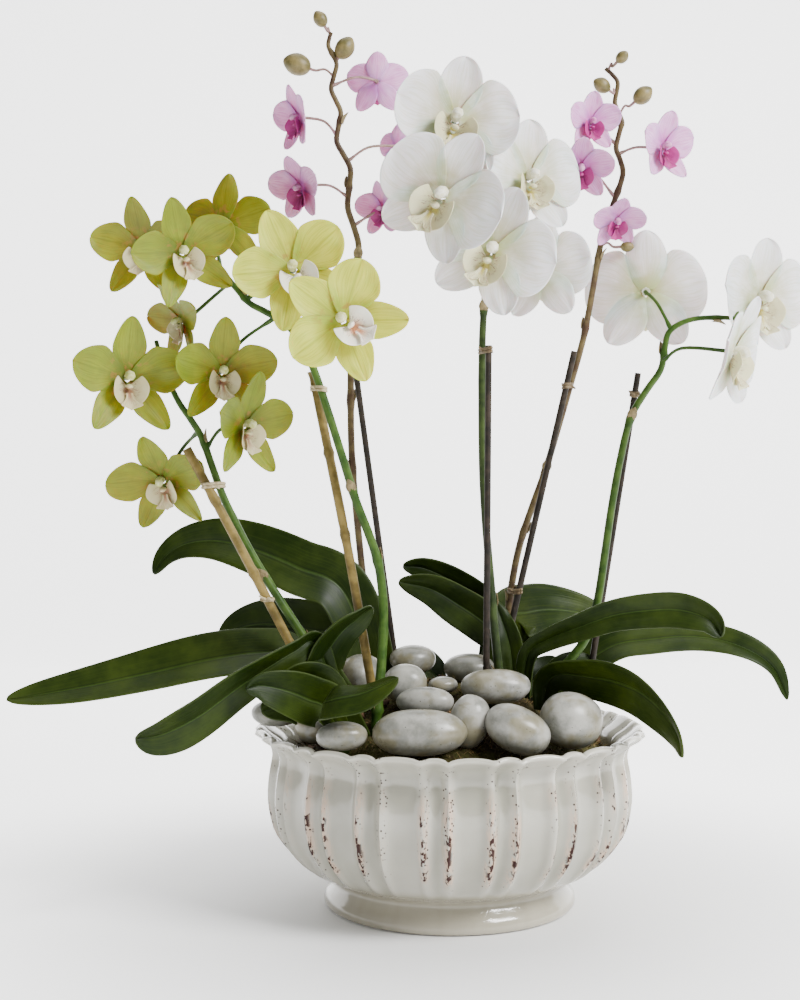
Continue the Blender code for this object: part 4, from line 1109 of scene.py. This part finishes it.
def makeSpike(name):
    spec = spikes[name]
    pink = "pink" in name
    thick, thin = spec["thick"], stems["pinkStalk" if pink else "stalk"]
    base = bedPoint(spec["root"])
    path = smoothPath([base + Vector((0, 0, 0.002))] + [spikePoint(name, k) for k in spec["knots"]], 2)
    fine = smoothPath([base - Vector((0, 0, stems["sink"]))] + path, 4)
    last = len(fine) - 1
    radii, reach, found = [], 0.0, []
    for i, spot in enumerate(fine):
        if i:
            reach += (spot - fine[i - 1]).length
        near = abs((reach / joints["spacing"]) % 1 - 0.5) * joints["spacing"]
        bulge = 1 + joints["swell"] * math.exp(-(near / joints["width"]) ** 2)
        radii.append((thick + (stems["tip"] - thick) * (i / last) ** 1.3) * bulge)
        if near < joints["near"] and (not found or reach - found[-1][0] > joints["apart"]):
            found.append((reach, i))
    spikePaths[name] = fine
    stem = rod("stem", fine, radii, 4)
    stem.data.materials.append(stemFinishes[spec["finish"]])
    parts = [stem]
    for count, (_, i) in enumerate(found[:joints["most"]]):
        up = (fine[min(last, i + 1)] - fine[i - 1]).normalized()
        side = up.cross(Vector((math.sin(count * 2.4), math.cos(count * 2.4), 0.1))).normalized()
        parts.append(makeBract(fine[i], side, up, joints["bract"]))
    for number, (flower, (place, facing, roll, share, leave)) in enumerate(flowers[name].items()):
        centre = spikePoint(name, place)
        kind = "pink" if pink else flower.split("_")[1]
        slot = kind + "_petal"
        # the yellow blooms away from the front take the olive finishes, partly painted shade
        if kind == "yellow" and flower not in litYellow:
            kind = "shadedOlive"
        seed = number + len(name) * 3 + sum(map(ord, flower))
        bloom, forward = placeBloom(kind, centre, facing, roll, share, seed)
        piece = stalk(leavingPoint(path, leave), centre - forward * 0.0003, forward, thin)
        piece.data.materials.append(pinkNeck if pink else stemFinishes["green"])
        parts.append(piece)
        if pink:
            parts.append(bloom)
        else:
            bloom.name = flower + "_looks"
            bloom.data.name = bloom.name
            finishPiece(bloom, slot, flower)
    for place, radius, leave in spec["buds"]:
        centre = spikePoint(name, place)
        start = leavingPoint(path, leave)
        aim = (centre - start).normalized()
        piece = stalk(start, centre - aim * radius * 0.8, aim, thin * 0.9)
        piece.data.materials.append(pinkNeck)
        parts += [piece, makeBud(centre, radius, aim)]
    whole = joinAll(parts, name + "_looks")
    smoothShade(whole)
    finishPiece(whole, spec["slot"], name)


spikePaths = {}
for name in spikes:
    makeSpike(name)
for master in masters.values():
    bpy.data.objects.remove(master)
print("spikes and flowers made")

stakes = {   # foot in rim radii, top from the foot and above the rim, radius
    "bamboo_stake_tall": ((-.364, -.300), (-.044, -.003, .250), 0.0035),
    "bamboo_stake_low": ((-.560, -.300), (-.103, -.010, .197), 0.0035),
    "stake_pink_left": ((-.260, .230), (-.031, -.010, .251), 0.0020),
    "stake_white_centre": ((.180, -.160), (.001, -.008, .269), 0.0020),
    "stake_pink_right": ((.250, .100), (.056, .004, .268), 0.0020),
    "stake_white_right": ((.690, .090), (.040, 0, .252), 0.0020),
}
cane = {"sink": 0.02, "step": 0.004, "spacing": 0.058, "sway": 0.0007}
bambooFinish = plainFinish("bamboo", (0.085, 0.060, 0.013), (0.225, 0.160, 0.045), 70, 0.38, gloss=0.18)
darkCane = plainFinish("darkCane", (0.010, 0.008, 0.006), (0.032, 0.023, 0.016), 120, 0.42, gloss=0.18)
twistFinish = plainFinish("brownTie", (0.075, 0.050, 0.024), (0.19, 0.135, 0.070), 400, 0.6)
tieFinish = plainFinish("raffiaTie", (0.26, 0.20, 0.10), (0.50, 0.42, 0.26), 400, 0.7)


def makeStake(name):
    foot, top, radius = stakes[name]
    bamboo = name.startswith("bamboo")
    start = bedPoint(foot)
    end = Vector((start.x + top[0], start.y + top[1], rimHeight + top[2]))
    lean = (end - start).normalized()
    start = start - lean * cane["sink"]
    length = (end - start).length
    steps = int(length / cane["step"])
    path, radii = [], []
    for i in range(steps + 1):
        reach = length * i / steps
        sway, share = Vector(), 1.22 - 0.1 * i / steps
        if bamboo:
            sway = Vector((math.sin(reach * 24 + len(name)) * cane["sway"], math.cos(reach * 19) * cane["sway"], 0))
            near = abs((reach / cane["spacing"]) % 1 - 0.5) * cane["spacing"]
            share = 0.90 + 0.22 * math.exp(-(near / 0.0026) ** 2) - 0.06 * math.exp(-((near - 0.005) / 0.002) ** 2)
        path.append(start + lean * reach + sway)
        radii.append(radius * share)
    stakePaths[name] = path
    piece = rod(name + "_looks", path, radii, 4)
    piece.data.materials.append(bambooFinish if bamboo else darkCane)
    roundOff(piece, 50)
    finishPiece(piece, "bamboo" if bamboo else "dark_stake", name)


stakePaths = {}
for name in stakes:
    makeStake(name)
print("stakes made")

ties = [   # stake, spike, height, wire radius, turns
    ("bamboo_stake_tall", "spike_yellow_tall", .3647, .0010, 2),
    ("bamboo_stake_low", "spike_yellow_low", .2987, .0011, 2),
    ("bamboo_stake_low", None, .2215, .0010, 1),
    ("stake_white_centre", "spike_white_centre", .3930, .0011, 2),
    ("stake_pink_right", "spike_pink_right", .3700, .0011, 2),
    ("stake_pink_right", "spike_pink_right", .2210, .0011, 2),
    ("stake_white_right", "spike_white_right", .3640, .0011, 2),
]


def atHeight(path, height):
    for a, b in zip(path, path[1:]):
        if (a.z - height) * (b.z - height) <= 0 and a.z != b.z:
            return a.lerp(b, (height - a.z) / (b.z - a.z))
    return min(path, key=lambda p: abs(p.z - height)).copy()


def makeTie(number, spec):
    stakeName, spikeName, height, wire, turns = spec
    bamboo = stakeName.startswith("bamboo")
    a = atHeight(stakePaths[stakeName], height)
    b = atHeight(spikePaths[spikeName], height) if spikeName else a
    if (a - b).length > 0.016:
        b = a
    middle, gap = (a + b) / 2, (a - b).length / 2
    way = (a - b).normalized() if gap > 1e-5 else Vector((1, 0, 0))
    across = Vector((-way.y, way.x, 0)).normalized()
    girth = stakes[stakeName][2] + wire * 0.8
    loops = []
    for loop in range(turns):
        ring = []
        for k in range(25):
            c, s = math.cos(k * 0.2618), math.sin(k * 0.2618)
            ring.append(middle + way * (c * (gap + girth)) + across * (s * girth * 1.05)
                        + Vector((0, 0, loop * wire * 1.9 + 0.0006 * s)))
        loops.append(rod("loop", ring, [wire] * 25, 2))
    start = middle - Vector((0, girth, 0))
    for hand in (-1, 1):
        end = [start, start + Vector((hand * 0.002, -0.002, 0.001)),
               start + Vector((hand * 0.005, -0.003, 0.003 - 0.004 * (hand > 0)))]
        loops.append(rod("end", smoothPath(end, 3), [wire * share for share in (1, 1, 1, .9, .8, .7, .5)], 2))
    tie = joinAll(loops, "tie%02d" % number)
    tie.data.materials.clear()
    tie.data.materials.append(tieFinish if bamboo else twistFinish)
    smoothShade(tie)
    finishPiece(tie, "bamboo" if bamboo else "dark_stake")


for number, spec in enumerate(ties):
    makeTie(number, spec)
print("ties made")

mixFinish = plainFinish("pottingMixLooks", (0.035, 0.018, 0.010), (0.11, 0.065, 0.035), 160, 0.85)
mixNode = bpy.data.objects["potting_mix"]
mixNode.data.materials.clear()
mixNode.data.materials.append(mixFinish)

studio = {"key": 112, "fill": 1, "top": 26, "world": 0.27, "floorGlow": 2.1}


def addLight(name, place, aim, width, energy):
    deselectAll()
    bpy.ops.object.light_add(type="AREA", location=place)
    lamp = latest(name)
    lamp.data.size = width
    lamp.data.energy = energy
    lamp.rotation_euler = (Vector(aim) - Vector(place)).to_track_quat("-Z", "Y").to_euler()


def addFloor():
    def sweep(u, v):
        y = -1.6 + u * 4.4
        rise = max(0.0, y - 1.3)
        return Vector((v * 4.0, min(y, 1.3 + 0.9 * (1 - math.exp(-rise * 1.1))), 0.9 * rise ** 1.6 - 0.0002))
    floor = gridPiece("studioSweep", 8, 60, sweep)
    smoothShade(floor)
    finish = Finish("paleFloor", Roughness=0.6, Specular_IOR_Level=0.25, Emission_Strength=studio["floorGlow"])
    place = finish.objectPlace()
    cloud = finish.cloud(place, 3, 2)
    finish.feed("Base Color", finish.blend(cloud, (0.88, 0.88, 0.875), (0.90, 0.90, 0.895)))
    x, y, _ = finish.axes(place)
    away = (x * x + y * y) ** 0.5
    # the floor glows, and the glow fades near the bowl to a painted shadow around it
    finish.feed("Emission Color", finish.blend(away.between(0.11, 0.52), (0.03, 0.03, 0.03), (1.0, 1.0, 1.0)))
    floor.data.materials.append(finish.material)


addFloor()
addLight("keyLight", (1.5, -1.1, 1.6), (0, 0, 0.28), 0.9, studio["key"])
addLight("fillLight", (-1.8, -1.2, 0.9), (0, 0, 0.25), 1.6, studio["fill"])
addLight("topLight", (0.1, 0.4, 2.1), (0, 0, 0.2), 1.6, studio["top"])
world = bpy.data.worlds.new("paleRoom")
bpy.context.scene.world = world
world.use_nodes = True
backdrop = world.node_tree.nodes["Background"].inputs
backdrop[0].default_value = (1, 1, 1, 1)
backdrop[1].default_value = studio["world"]
print("studio made")
